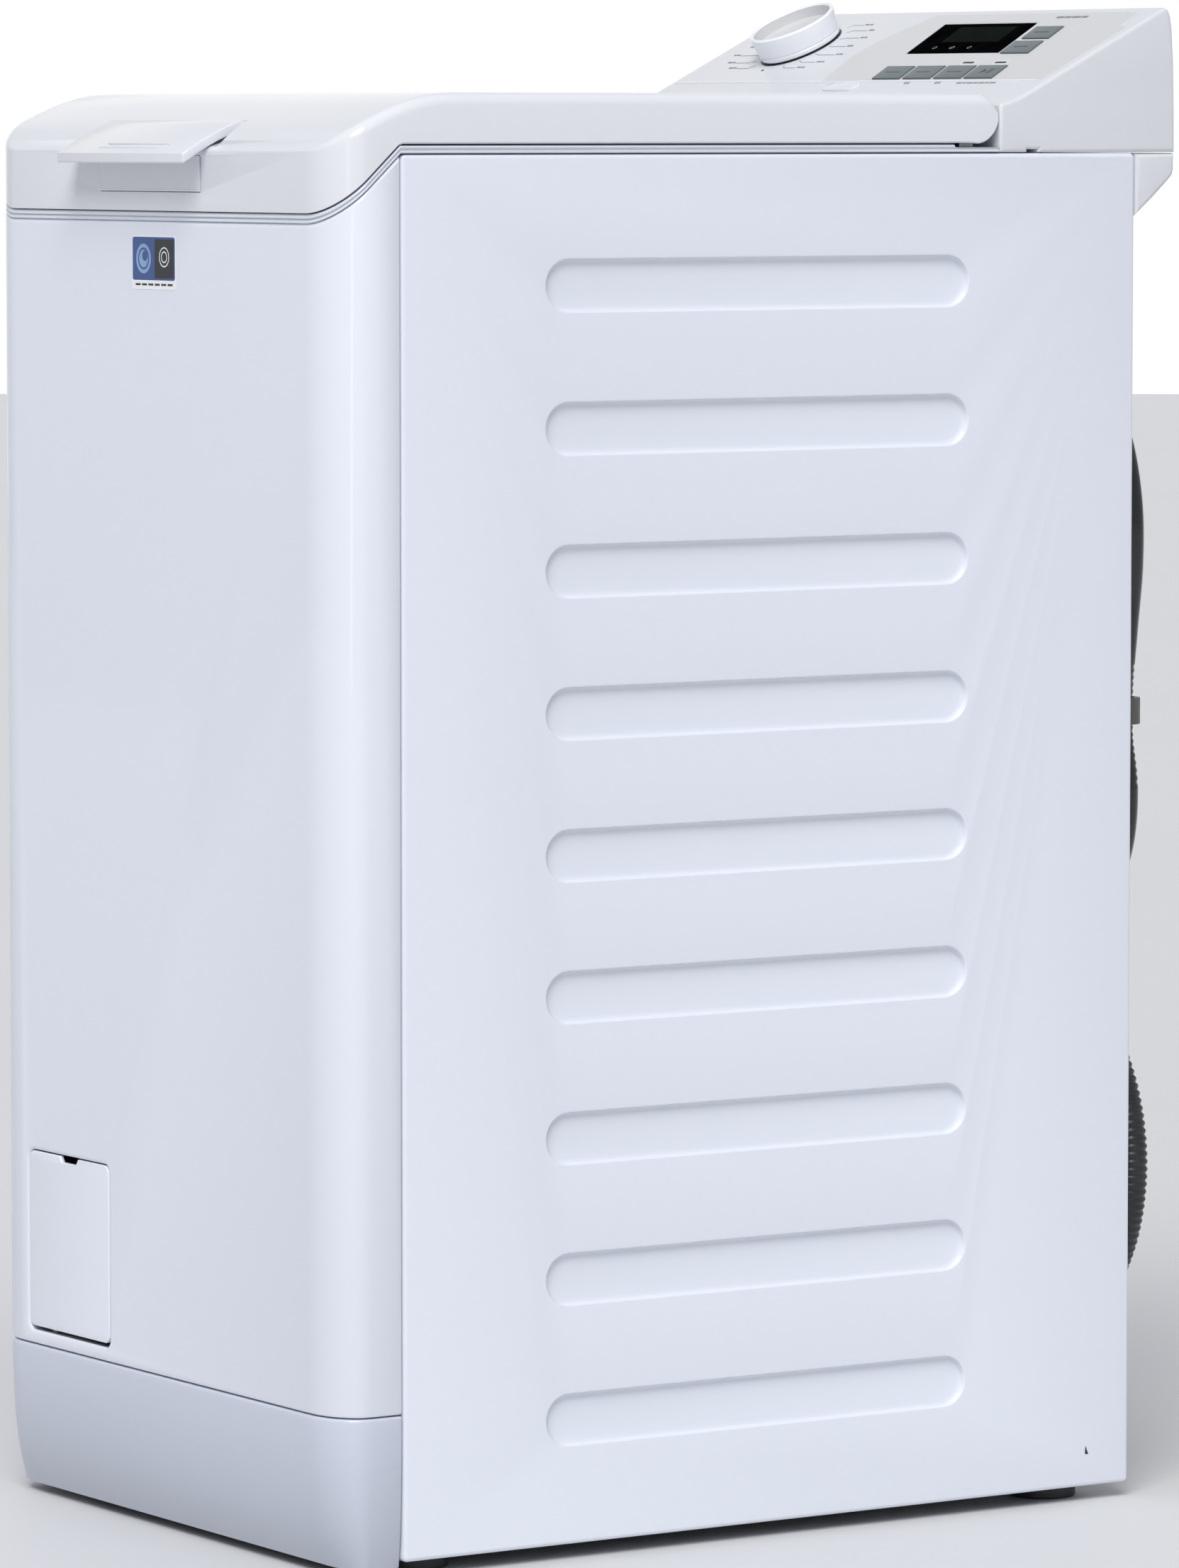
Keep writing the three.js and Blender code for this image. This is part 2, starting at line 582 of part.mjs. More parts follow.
// ---- drum ----
function drumShell() {
  const [r, t, h] = [DRUM.r, DRUM.t, DRUM.half];
  const sides = 72;
  const outer = rod('x', r, AXIS.y, AXIS.z, -h, h, sides);
  const inner = rod('x', r - t, AXIS.y, AXIS.z, -h + 2, h - 2, sides);
  const shaft = join(
    rod('x', SHAFT_R, AXIS.y, AXIS.z, h - 1, PULLEY.x1 + 8, 24),
    rod('x', SHAFT_R, AXIS.y, AXIS.z, -168, -h + 1, 24),
  );
  const half = r * Math.sin(THREE.MathUtils.degToRad(DRUM.openAngle));
  const hatch = box(-DRUM.openX, DRUM.openX, AXIS.y - half, AXIS.y + half, AXIS.z + 150, AXIS.z + 260);
  let shell = cut(join(outer, shaft), inner, hatch);
  for (const angle of PADDLES) shell = shell.add(paddle(angle, false)).subtract(paddle(angle, true));
  return shell;
}

// A wash paddle: a triangular ridge with a rounded crest along the drum's inner wall, pressed from
// sheet, so that its hollow is open to the outside of the drum.
function paddle(turn, hollow) {
  const foot = DRUM.r - DRUM.t + 0.5;
  const ridge = [[-28, foot - 4], [-8, foot - 36], [0, foot - 40], [8, foot - 36], [28, foot - 4], [0, foot]];
  const inside = [
    [-24.6, foot - 4], [-6.8, foot - 33.4], [0, foot - 37.2], [6.8, foot - 33.4], [24.6, foot - 4],
    [24.6, foot + 8], [-24.6, foot + 8],
  ];
  const half = hollow ? 116 : 118;
  const solid = prism('x', hollow ? inside : ridge, -half, half);
  return solid.rotate([turn, 0, 0]).translate([0, AXIS.y, AXIS.z]);
}

function drumFlap(side) {
  const edge = DRUM.openAngle - 0.45;
  const [a0, a1] = side < 0 ? [90 + 0.25, 90 + edge] : [90 - edge, 90 - 0.25];
  const r = DRUM.r - 0.4;
  const skin = [...arc(AXIS.y, AXIS.z, r, r, a0, a1, 8), ...arc(AXIS.y, AXIS.z, r - 1.6, r - 1.6, a1, a0, 8)];
  return prism('x', skin, -DRUM.openX + 0.8, DRUM.openX - 0.8);
}

function drumPulley() {
  const { r, x0, x1 } = PULLEY;
  const bore = rod('x', r - 8, AXIS.y, AXIS.z, x0 - 1, x1 + 1, 48);
  const rim = rod('x', r, AXIS.y, AXIS.z, x0, x1, 48).subtract(bore);
  const hub = rod('x', 26, AXIS.y, AXIS.z, x0, x1, 24);
  let wheel = rim.add(hub);
  for (let i = 0; i < 6; i++) {
    const g = new THREE.BoxGeometry(6, 16, r - 26);
    g.translate(0, 0, 24 + (r - 26) / 2).rotateX((i * Math.PI) / 3).translate((x0 + x1) / 2, AXIS.y, AXIS.z);
    wheel = wheel.add(toSolid(g));
  }
  return wheel.subtract(rod('x', SHAFT_R + 0.3, AXIS.y, AXIS.z, x0 - 1, x1 + 1, 24));
}

// ---- soft links between the cabinet and the tub ----
function gasket() {
  const [x, y] = [NECK.x + 1, NECK.y + 1];
  const ring = box(-x, x, AXIS.y - y, AXIS.y + y, NECK.top + GAP, MOUTH.collar - GAP);
  return ring.subtract(box(-x + 5, x - 5, AXIS.y - y + 5, AXIS.y + y - 5, 700, 800));
}

function spring(side) {
  const r = SPRING.r;
  const body = rod('z', r, side * SPRING.x, AXIS.y, SPRING.low + GAP, SPRING.high - GAP, 12);
  return body.subtract(rod('z', r - 3, side * SPRING.x, AXIS.y, SPRING.low - 5, SPRING.high + 5, 12));
}

function sumpHose() {
  const hose = rod('z', SUMP.r, FILTER.x, SUMP.y, SUMP.low + GAP, SUMP.high - GAP, 16);
  return hose.subtract(rod('z', SUMP.bore, FILTER.x, SUMP.y, 150, 260, 16));
}

// ---- pump, filter, valve, lock ----
function drainPump() {
  const housing = rod('y', 34, FILTER.x, FILTER.z, -260, -204, 24);
  const mouth = rod('y', 29, FILTER.x, FILTER.z, -261, -215, 24);
  const drive = rod('y', 24, FILTER.x, FILTER.z, -206, -135, 20);
  const stub = rod('z', SUMP.r, FILTER.x, SUMP.y, FILTER.z, SUMP.low, 16);
  const floor = BASE.z0 + BASE.t + GAP;
  const stand = box(FILTER.x - 22, FILTER.x + 22, BASE.y0 + BASE.t + 1, -150, floor, FILTER.z - 14);
  return cut(join(housing, drive, stub, stand), mouth);
}

function filterKnob() {
  const cap = rod('y', FILTER.r, FILTER.x, FILTER.z, -266, -262, 24);
  const grip = box(FILTER.x - 22, FILTER.x + 22, -274, -264, FILTER.z - 5, FILTER.z + 5);
  return join(cap, grip, rod('y', FILTER.r - 6, FILTER.x, FILTER.z, -263, -218, 20));
}

function filterDoor() {
  const d = FILTER_DOOR;
  const plate = prism('y', roundedBox(d.x0, d.x1, d.z0, d.z1, 5.5), FRONT_Y, FRONT_Y + 2.4);
  const mid = (d.x0 + d.x1) / 2;
  const notch = prism('y', [
    [mid - 11, d.z1 + 1], [mid - 8, d.z1 - 4], [mid + 8, d.z1 - 4], [mid + 11, d.z1 + 1],
  ], -290, -270);
  return plate.subtract(notch);
}

function inletValve() {
  const body = box(INLET.x - 18, INLET.x + 18, 234, 264, 770, 797);
  const bridge = box(INLET.x - 11, INLET.x + 11, 260, 292, 789, 797);
  return join(body, bridge, rod('z', 9, INLET.x, HOSE_Y + 2, INLET.top + GAP, 792, 20));
}

function cableGland() {
  const body = rod('z', 7.8, -150, 285, 770, 800, 16);
  return body.subtract(rod('z', 4, -150, 285, 760, 790, 12));
}

function lidLock() {
  const body = box(140, 176, -214, -176, 776, 797);
  return body.subtract(box(150, 158, -204, -186, 786, 800));
}

function drainOutlet() {
  const z = DRAIN.arcZ - DRAIN.radius;
  const flange = box(DRAIN.startX - 52, DRAIN.startX - 16, 270.3, 273, z - 16, z + 16);
  return join(flange, rod('x', 12, HOSE_Y, z, DRAIN.startX - 44, DRAIN.startX - GAP, 16));
}

// ---- hoses ----
const drainEndZ = DRAIN.arcZ + DRAIN.radius - DRAIN.pitch * 1.5;

// Sweeps a round section along points in the plane y = HOSE_Y, given as (x, z).
function hose(points, r, sides, steps) {
  const route = points.map(([x, z]) => new THREE.Vector3(x, HOSE_Y, z));
  const path = new THREE.CatmullRomCurve3(route, false, 'centripetal');
  const section = new THREE.Shape(arc(0, 0, r, r, 0, 360 - 360 / sides, sides - 1)
    .map(([u, v]) => new THREE.Vector2(u, v)));
  return toSolid(new THREE.ExtrudeGeometry(section, { steps, extrudePath: path, bevelEnabled: false }));
}

// The drain hose: a flat winding with straight runs and round ends, one turn inside the other.
function drainRoute() {
  const d = DRAIN;
  const halfTurns = 3;
  const perHalf = 8;
  const points = [[d.startX, d.arcZ - d.radius]];
  for (let i = 0; i < halfTurns; i++) {
    const centre = i % 2 ? -d.arcX : d.arcX;
    for (let k = 0; k <= perHalf; k++) {
      const turn = (i + k / perHalf) / 2;
      const r = d.radius - d.pitch * turn;
      const a = (turn - 0.25) * 2 * Math.PI;
      points.push([centre + r * Math.cos(a), d.arcZ + r * Math.sin(a)]);
    }
  }
  points.push([d.endX, drainEndZ]);
  return points;
}

// The inlet hose: down from the valve along the right edge, then up and down again in two wide bends.
const inletRoute = [
  [INLET.x, INLET.top], [121, 720], [133, 690], [153, 660], [170, 630], [179, 596], [180, 560], [175, 520],
  [171, 486], [171, 456], [176, 426], [171, 388], [148, 352], [112, 331], [70, 331], [34, 352],
  [10, 388], [0, 426], [0, 490], [0, 570], [0, 654], [-12, 696], [-40, 729],
  [-80, 746], [-118, 740], [-152, 714], [-172, 680], [-180, 640], [-180, 560], [-180, 470], [-180, 380],
  [INLET.endX, INLET.endZ],
];

function hoseClip(x, z) {
  const bore = rod('z', 9, x, HOSE_Y, z - 20, z + 20, 16);
  const ring = rod('z', 12, x, HOSE_Y, z - 8, z + 8, 16);
  return join(ring, box(x - 16, x + 16, 270.3, 273.4, z - 8, z + 8)).subtract(bore);
}

function hoseEnd(x, z, dx, dz, r, length) {
  if (dx) return rod('x', r, HOSE_Y, z, x + dx * length, x, 16);
  return rod('z', r, x, HOSE_Y, z + dz * length, z, 16);
}

// ---- assembly ----
add('base_tray', baseTray(), tubGrey);
add('side_panel_left', sidePanel(-1), paint);
add('side_panel_right', sidePanel(1), paint);
add('front_panel', frontPanel(), paint);
add('plinth', plinth(), paint);
add('back_panel', backPanel(), steel);
add('top_frame', topFrame(), trim);
add('dispenser_tray', dispenserTray(), white);
add('console_housing', consoleHousing(), white);
add('console_rear_cover', rearCover(), white);
add('display_window', facePrism(keyOutline(DISPLAY.x, DISPLAY.s, DISPLAY.w, DISPLAY.h), -2, 0.3), dark);
add('control_board', controlBoard(), board);
add('dial', dial(), white);
add('power_button', facePrism(pillOutline(), -6, 1), white);
for (const [name, x, s, w, h] of KEYS) add(name, facePrism(keyOutline(x, s, w, h), -6, 0.9), grey);

add('lid_outer', lidOuter(), white);
add('lid_inner', lidInner(), white);
add('lid_handle', lidHandle(), white);
add('lid_hinge_left', hingeBracket(-1), steel);
add('lid_hinge_right', hingeBracket(1), steel);
add('lid_lock', lidLock(), dark);

add('tub_shell', tubShell(), tubGrey);
add('tub_side_left', tubSide(-1), tubGrey);
add('tub_side_right', tubSide(1), tubGrey);
add('counterweight', counterweight(), concrete);
add('motor', motor(), steel);
add('motor_pulley', motorPulley(), steel);
add('drive_belt', belt(), rubber);
add('drum_shell', drumShell(), steel);
add('drum_flap_front', drumFlap(-1), steel);
add('drum_flap_rear', drumFlap(1), steel);
add('drum_pulley', drumPulley(), steel);
for (const [side, s] of [['left', -1], ['right', 1]]) {
  add(`damper_tube_${side}`, damperTube(s * DAMPER.x), dark);
  add(`damper_rod_${side}`, damperRod(s * DAMPER.x), steel);
  add(`tub_spring_${side}`, spring(s), steel);
}
add('door_gasket', gasket(), rubber);
add('sump_hose', sumpHose(), rubber);

add('drain_pump', drainPump(), dark);
add('filter_knob', filterKnob(), tubGrey);
add('filter_door', filterDoor(), paint);
add('inlet_valve', inletValve(), white);
add('cable_gland', cableGland(), dark);
for (const [name, x, y] of [
  ['foot_front_left', -FOOT.x, FOOT.front],
  ['foot_front_right', FOOT.x, FOOT.front],
  ['foot_rear_left', -FOOT.x, FOOT.rear],
  ['foot_rear_right', FOOT.x, FOOT.rear],
]) add(name, foot(x, y), dark);

add('drain_outlet', drainOutlet(), dark);
add('drain_hose', hose(drainRoute(), DRAIN.r, 8, 42), rubber);
add('drain_hose_cuff', hoseEnd(DRAIN.endX - GAP, drainEndZ, -1, 0, 12.5, 42), rubber);
add('inlet_hose', hose(inletRoute, INLET.r, 8, 52), rubber);
add('inlet_hose_nut', hoseEnd(INLET.endX, INLET.endZ - GAP, 0, -1, 13, 18), steel);
add('hose_clip', hoseClip(171, 471), tubGrey);

export default group;
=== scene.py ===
"""Looks for the top-loading washing machine: detailed pieces, materials, floor, light and camera.

Shapes are written in millimetres in the machine's own frame: +X right, -Y front, +Z up, origin on
the floor under the centre of the cabinet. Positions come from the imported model's boxes.
"""
import math

import bmesh
import bpy
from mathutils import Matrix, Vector
from mathutils.geometry import tessellate_polygon


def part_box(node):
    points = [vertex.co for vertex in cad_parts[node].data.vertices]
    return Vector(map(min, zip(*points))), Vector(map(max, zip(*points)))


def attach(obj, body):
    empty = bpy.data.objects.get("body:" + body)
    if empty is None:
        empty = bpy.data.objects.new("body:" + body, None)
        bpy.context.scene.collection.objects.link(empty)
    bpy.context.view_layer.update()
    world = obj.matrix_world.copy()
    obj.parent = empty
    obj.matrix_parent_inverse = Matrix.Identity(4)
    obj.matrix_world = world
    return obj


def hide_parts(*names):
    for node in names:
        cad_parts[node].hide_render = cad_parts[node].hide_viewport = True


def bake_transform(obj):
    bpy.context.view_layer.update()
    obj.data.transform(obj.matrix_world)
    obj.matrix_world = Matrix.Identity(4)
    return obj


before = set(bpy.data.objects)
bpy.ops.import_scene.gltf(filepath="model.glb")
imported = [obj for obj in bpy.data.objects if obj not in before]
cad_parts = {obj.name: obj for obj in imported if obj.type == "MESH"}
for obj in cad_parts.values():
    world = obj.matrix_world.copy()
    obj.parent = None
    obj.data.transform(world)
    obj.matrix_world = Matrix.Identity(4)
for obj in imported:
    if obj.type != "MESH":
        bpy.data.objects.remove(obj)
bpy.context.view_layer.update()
MM = 0.001


def span(node):
    """The lowest and highest x, y and z of a CAD node, in millimetres."""
    low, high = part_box(node)
    return [v / MM for pair in zip(low, high) for v in pair]


# ---- driving dimensions, in millimetres ----
HALF_W = span("side_panel_right")[1]
FRONT_Y = span("front_panel")[2]
SEAM_Y = span("front_panel")[3]
REAR_Y = span("side_panel_right")[3]
SIDE_LOW, SIDE_TOP = span("side_panel_right")[4:6]
PANEL_LOW = span("front_panel")[4]
CORNER_X, CORNER_Y = 33, 22     # front corner radii across the width and along the depth
TRIM_FRONT = 764.6              # top edge of the front panel at the front face
BAND = 4.6                      # height of the light band under the lid
LID_Z = 839                     # top of the lid
LID_SIDE = span("lid_outer")[1]
LID_REAR = 170.6
FACE_Y, FACE_Z = 200.3, 844.2   # foot of the console's sloping face
FACE_TILT = math.radians(26.45)
FACE_LONG = 102.4
CONSOLE_FRONT = 172
OVERHANG = span("console_housing")[3]
WELL_Y = 139.6                  # behind this the deck steps down for the lid's rear edge
HINGE_SLOT = (190.8, 184.6)     # the slots in the lid that the hinge posts pass through
AXIS = Vector((0, -5, 425))     # centre of the drum
DRUM_R = 232
HOSE_Y = 283

# ---- camera ----
CAMERA_PLACE = (4.07296, -2.6232, 0.82148)
CAMERA_TURN = 57.07             # degrees from straight back towards the machine's left
CAMERA_DOWN = 4.65


def make_camera():
    data = bpy.data.cameras.new("camera")
    data.lens = 186.4
    data.sensor_width = 36
    data.clip_end = 60
    camera = bpy.data.objects.new("camera", data)
    camera.location = CAMERA_PLACE
    camera.rotation_euler = (math.radians(90 - CAMERA_DOWN), 0, math.radians(CAMERA_TURN))
    bpy.context.scene.collection.objects.link(camera)
    bpy.context.scene.camera = camera


# ---- materials ----
class Nodes:
    """A small writer of shader nodes on one material."""

    def __init__(self, name):
        self.material = bpy.data.materials.new(name)
        self.material.use_nodes = True
        self.tree = self.material.node_tree
        self.shader = self.tree.nodes["Principled BSDF"]
        self.place = self.add("ShaderNodeTexCoord").outputs["Object"]

    def add(self, kind, **settings):
        node = self.tree.nodes.new(kind)
        for key, value in settings.items():
            setattr(node, key, value)
        return node

    def link(self, source, socket):
        self.tree.links.new(source, socket)

    def put(self, node, key, value):
        if hasattr(value, "is_output"):
            self.link(value, node.inputs[key])
        else:
            node.inputs[key].default_value = value

    def noise(self, scale, detail=2.0, stretch=None, rough=0.5):
        node = self.add("ShaderNodeTexNoise")
        node.inputs["Scale"].default_value = scale
        node.inputs["Detail"].default_value = detail
        node.inputs["Roughness"].default_value = rough
        vector = self.place
        if stretch:
            mapping = self.add("ShaderNodeMapping")
            self.link(self.place, mapping.inputs["Vector"])
            mapping.inputs["Scale"].default_value = stretch
            vector = mapping.outputs["Vector"]
        self.link(vector, node.inputs["Vector"])
        return node.outputs["Fac"]

    def math(self, operation, a, b=0.0, c=0.0):
        node = self.add("ShaderNodeMath", operation=operation)
        for i, value in enumerate((a, b, c)):
            self.put(node, i, value)
        return node.outputs[0]

    def spread(self, value, low, high, to_low, to_high):
        node = self.add("ShaderNodeMapRange")
        for key, number in zip(("Value", "From Min", "From Max", "To Min", "To Max"),
                               (value, low, high, to_low, to_high)):
            self.put(node, key, number)
        return node.outputs["Result"]

    def mix(self, share, first, second):
        node = self.add("ShaderNodeMix", data_type="RGBA")
        self.put(node, 0, share)
        self.put(node, 6, first if hasattr(first, "is_output") else (*first, 1))
        self.put(node, 7, second if hasattr(second, "is_output") else (*second, 1))
        return node.outputs[2]

    def bump(self, height, strength, distance=0.0005):
        node = self.add("ShaderNodeBump")
        node.inputs["Strength"].default_value = strength
        node.inputs["Distance"].default_value = distance
        self.link(height, node.inputs["Height"])
        self.link(node.outputs["Normal"], self.shader.inputs["Normal"])

    def finish(self, color, rough, **fixed):
        self.link(color, self.shader.inputs["Base Color"])
        self.link(rough, self.shader.inputs["Roughness"])
        for key, value in fixed.items():
            self.shader.inputs[key.replace("_", " ")].default_value = value
        return self.material


def shade(color, amount):
    return tuple(min(1.0, c * amount) for c in color)


def mottled(name, color, rough, grain=600, grain_bump=0.05, cloud=6, change=0.03, **fixed):
    """A moulded or painted surface: slow colour change, uneven gloss and a fine grain."""
    n = Nodes(name)
    slow = n.noise(cloud, 1)
    n.bump(n.noise(grain, 3), grain_bump)
    tint = n.mix(n.spread(slow, 0.1, 0.9, 0, 1), shade(color, 1 - change), shade(color, 1 + change))
    gloss = n.spread(n.noise(cloud * 4, 1), 0.1, 0.9, rough * 0.9, rough * 1.1)
    return n.finish(tint, gloss, **fixed)


def scuffed(name, color, rough, **fixed):
    """Rubber or dark plastic with patches of dust and a slightly chalky skin."""
    n = Nodes(name)
    dust = n.math("POWER", n.noise(38, 6, rough=0.7), 3)
    n.bump(n.noise(900, 4), 0.18)
    tint = n.mix(n.spread(dust, 0.05, 0.35, 0, 0.55), color, tuple(c * 1.5 + 0.02 for c in color))
    return n.finish(tint, n.spread(dust, 0, 0.4, rough * 0.85, min(1, rough * 1.25)), **fixed)


def spangled(name, color, rough):
    """Galvanised sheet: crystal spangles with their own tone and gloss."""
    n = Nodes(name)
    cells = n.add("ShaderNodeTexVoronoi", feature="F1")
    cells.inputs["Scale"].default_value = 95
    n.link(n.place, cells.inputs["Vector"])
    tone = n.add("ShaderNodeSeparateColor")
    n.link(cells.outputs["Color"], tone.inputs[0])
    tint = n.mix(tone.outputs[0], shade(color, 0.86), shade(color, 1.08))
    n.bump(cells.outputs["Distance"], 0.08)
    return n.finish(tint, n.spread(tone.outputs[1], 0, 1, rough * 0.75, rough * 1.25), Metallic=0.85)


def brushed(name, color, rough, stretch):
    """Rolled steel with fine lines along one direction."""
    n = Nodes(name)
    lines = n.noise(55, 5, stretch=stretch, rough=0.65)
    n.bump(lines, 0.06)
    tint = n.mix(lines, shade(color, 0.88), shade(color, 1.08))
    return n.finish(tint, n.spread(lines, 0.3, 0.7, rough * 0.8, rough * 1.25), Metallic=1.0)


def perforated(name, color, rough, pitch=9.0, hole=1.9):
    """The drum's steel, pierced all over in staggered rows that run round the axis."""
    n = Nodes(name)
    parts = n.add("ShaderNodeSeparateXYZ")
    n.link(n.place, parts.inputs[0])
    y = n.math("SUBTRACT", parts.outputs["Y"], AXIS.y * MM)
    z = n.math("SUBTRACT", parts.outputs["Z"], AXIS.z * MM)
    along = n.math("DIVIDE", parts.outputs["X"], pitch * MM)
    round_ = n.math("MULTIPLY", n.math("ARCTAN2", y, z), DRUM_R / pitch)
    row = n.math("FLOOR", round_)
    shift = n.math("MULTIPLY", n.math("MODULO", n.math("ABSOLUTE", row), 2), 0.5)
    u = n.math("SUBTRACT", n.math("FRACT", n.math("ADD", along, shift)), 0.5)
    v = n.math("SUBTRACT", n.math("FRACT", round_), 0.5)
    reach = n.math("SQRT", n.math("ADD", n.math("MULTIPLY", u, u), n.math("MULTIPLY", v, v)))
    size = hole / pitch
    ends = n.math("LESS_THAN", n.math("ABSOLUTE", parts.outputs["X"]), 0.126)
    solid = n.math("MAXIMUM", n.spread(reach, size * 0.9, size * 1.1, 0, 1), n.math("SUBTRACT", 1, ends))
    rim = n.math("MAXIMUM", n.spread(reach, size, size * 1.7, 0, 1), n.math("SUBTRACT", 1, ends))
    lines = n.noise(60, 4, stretch=(1, 8, 8))
    n.bump(n.math("ADD", rim, n.math("MULTIPLY", lines, 0.05)), 0.5, 0.0008)
    steel = n.mix(lines, shade(color, 0.9), shade(color, 1.07))
    tint = n.mix(solid, (0.015, 0.016, 0.018), steel)
    return n.finish(tint, n.spread(solid, 0, 1, 0.8, rough), Metallic=0.9)


def painted_floor_shade(name, color, rough):
    """Moulded plastic near the floor: greyer towards its lower edge as painted shade, and duller there."""
    n = Nodes(name)
    parts = n.add("ShaderNodeSeparateXYZ")
    n.link(n.place, parts.inputs[0])
    patches = n.noise(9, 1)
    rise = n.spread(n.math("ADD", parts.outputs["Z"], n.math("MULTIPLY", patches, 0.012)), 0.01, 0.1, 0, 1)
    n.bump(n.noise(700, 3), 0.04)
    # towards the floor the colour falls to a darker grey: painted shade
    tint = n.mix(rise, shade(color, 0.76), color)
    return n.finish(tint, n.spread(rise, 0, 1, rough * 1.4, rough), Coat_Weight=0.25)


def screen(name):
    """Black window: a faintly lighter panel behind the glass, with a little haze."""
    n = Nodes(name)
    haze = n.noise(90, 5)
    tint = n.mix(n.spread(haze, 0.3, 0.7, 0, 1), (0.001, 0.001, 0.0012), (0.003, 0.003, 0.0035))
    return n.finish(tint, n.spread(haze, 0.3, 0.7, 0.3, 0.4), Specular_IOR_Level=0.0)


PAINT = (0.765, 0.795, 0.875)
GLOSS = (0.765, 0.775, 0.815)
mat = {
    "paint": mottled("painted_steel", PAINT, 0.16, 700, 0.03, 3, 0.012, Coat_Weight=0.4, Coat_Roughness=0.05),
    "white": mottled("white_plastic", GLOSS, 0.2, 900, 0.02, 4, 0.012, Coat_Weight=0.3, Coat_Roughness=0.08),
    "face": mottled("console_face", (0.70, 0.712, 0.745), 0.3, 1400, 0.04, 6, 0.012, Coat_Weight=0.1),
    "field": mottled("console_field", (0.63, 0.635, 0.65), 0.3, 1400, 0.04, 6, 0.012, Coat_Weight=0.1),
    "trim": mottled("trim_plastic", (0.67, 0.70, 0.77), 0.24, 800, 0.05, 9, 0.03),
    "key": mottled("key_plastic", (0.15, 0.18, 0.188), 0.4, 1600, 0.08, 30, 0.05, Specular_IOR_Level=0.25),
    "dark": scuffed("black_plastic", (0.02, 0.021, 0.023), 0.5),
    "tub": mottled("tub_plastic", (0.27, 0.29, 0.31), 0.5, 500, 0.2, 12, 0.06),
    "drum": perforated("stainless_pierced", (0.62, 0.63, 0.64), 0.24),
    "steel": brushed("stainless", (0.62, 0.63, 0.64), 0.28, (1, 9, 9)),
    "zinc": spangled("galvanised", (0.55, 0.57, 0.59), 0.42),
    "rubber": scuffed("black_rubber", (0.014, 0.0145, 0.015), 0.55),
    "hose": scuffed("hose_plastic", (0.014, 0.015, 0.0145), 0.36),
    "smooth_hose": scuffed("hose_rubber", (0.008, 0.0095, 0.009), 0.2, Coat_Weight=0.2),
    "clip": mottled("clip_plastic", (0.10, 0.093, 0.085), 0.4, 900, 0.15, 60, 0.1),
    "gasket": mottled("grey_rubber", (0.14, 0.146, 0.152), 0.55, 900, 0.2, 30, 0.08),
    "concrete": mottled("concrete", (0.3, 0.29, 0.27), 0.9, 260, 0.8, 40, 0.2),
    "board": mottled("circuit_board", (0.02, 0.10, 0.045), 0.4, 400, 0.3, 80, 0.2),
    "screen": screen("display_glass"),
    "lcd": mottled("display_lcd", (0.008, 0.011, 0.009), 0.35, 1500, 0.05, 60, 0.2, Specular_IOR_Level=0.0),
    # the plinth's plastic is painted darker towards the floor as shade
    "plinth": painted_floor_shade("plinth_plastic", (0.60, 0.635, 0.73), 0.24),
    "dial": mottled("dial_plastic", (0.89, 0.91, 0.955), 0.18, 900, 0.02, 30, 0.012, Coat_Weight=0.4),
    "ink": mottled("grey_ink", (0.23, 0.235, 0.25), 0.5, 2000, 0.05, 200, 0.1),
    "black_ink": mottled("black_ink", (0.03, 0.03, 0.033), 0.4, 2000, 0.05, 200, 0.1),
    "white_ink": mottled("white_ink", (0.9, 0.905, 0.92), 0.35, 2000, 0.03, 200, 0.02),
    "blue_ink": mottled("blue_ink", (0.045, 0.095, 0.27), 0.3, 2000, 0.03, 60, 0.08),
    "sky_ink": mottled("pale_blue_ink", (0.25, 0.38, 0.62), 0.3, 2000, 0.03, 60, 0.15),
}


# ---- outlines, as lists of (u, v) ----
def arc(u, v, ru, rv, start, end, steps):
    turns = [math.radians(start + (end - start) * i / steps) for i in range(steps + 1)]
    return [(u + ru * math.cos(a), v + rv * math.sin(a)) for a in turns]


def rounded(u0, u1, v0, v1, r, steps=6):
    r = max(r, 0.01)
    return (arc(u1 - r, v1 - r, r, r, 0, 90, steps) + arc(u0 + r, v1 - r, r, r, 90, 180, steps)
            + arc(u0 + r, v0 + r, r, r, 180, 270, steps) + arc(u1 - r, v0 + r, r, r, 270, 360, steps))


def stadium(u, v, run, r, steps=10):
    return arc(u + run, v, r, r, -90, 90, steps) + arc(u - run, v, r, r, 90, 270, steps)


def circle(u, v, r, sides):
    return arc(u, v, r, r, 0, 360 * (1 - 1 / sides), sides - 1)


def inset(outline, depth):
    """A counter-clockwise outline moved inwards."""
    moved = []
    for i, (u, v) in enumerate(outline):
        before = Vector((u, v)) - Vector(outline[i - 1])
        after = Vector(outline[(i + 1) % len(outline)]) - Vector((u, v))
        a = Vector((-before.y, before.x)).normalized()
        b = Vector((-after.y, after.x)).normalized()
        push = (a + b) * depth / max(0.3, 1 + a.dot(b))
        moved.append((u + push.x, v + push.y))
    return moved


def curve_through(knots, at):
    """A smooth height through (place, height) knots in rising order."""
    k = max(0, min(len(knots) - 2, sum(1 for p, _ in knots[1:-1] if p <= at)))
    (p0, h0), (p1, h1) = knots[k], knots[k + 1]

    def slope(i):
        a, b = knots[max(0, i - 1)], knots[min(len(knots) - 1, i + 1)]
        return (b[1] - a[1]) / (b[0] - a[0])
    t = (at - p0) / (p1 - p0)
    step = p1 - p0
    return ((2 * t**3 - 3 * t**2 + 1) * h0 + (t**3 - 2 * t**2 + t) * step * slope(k)
            + (3 * t**2 - 2 * t**3) * h1 + (t**3 - t**2) * step * slope(k + 1))


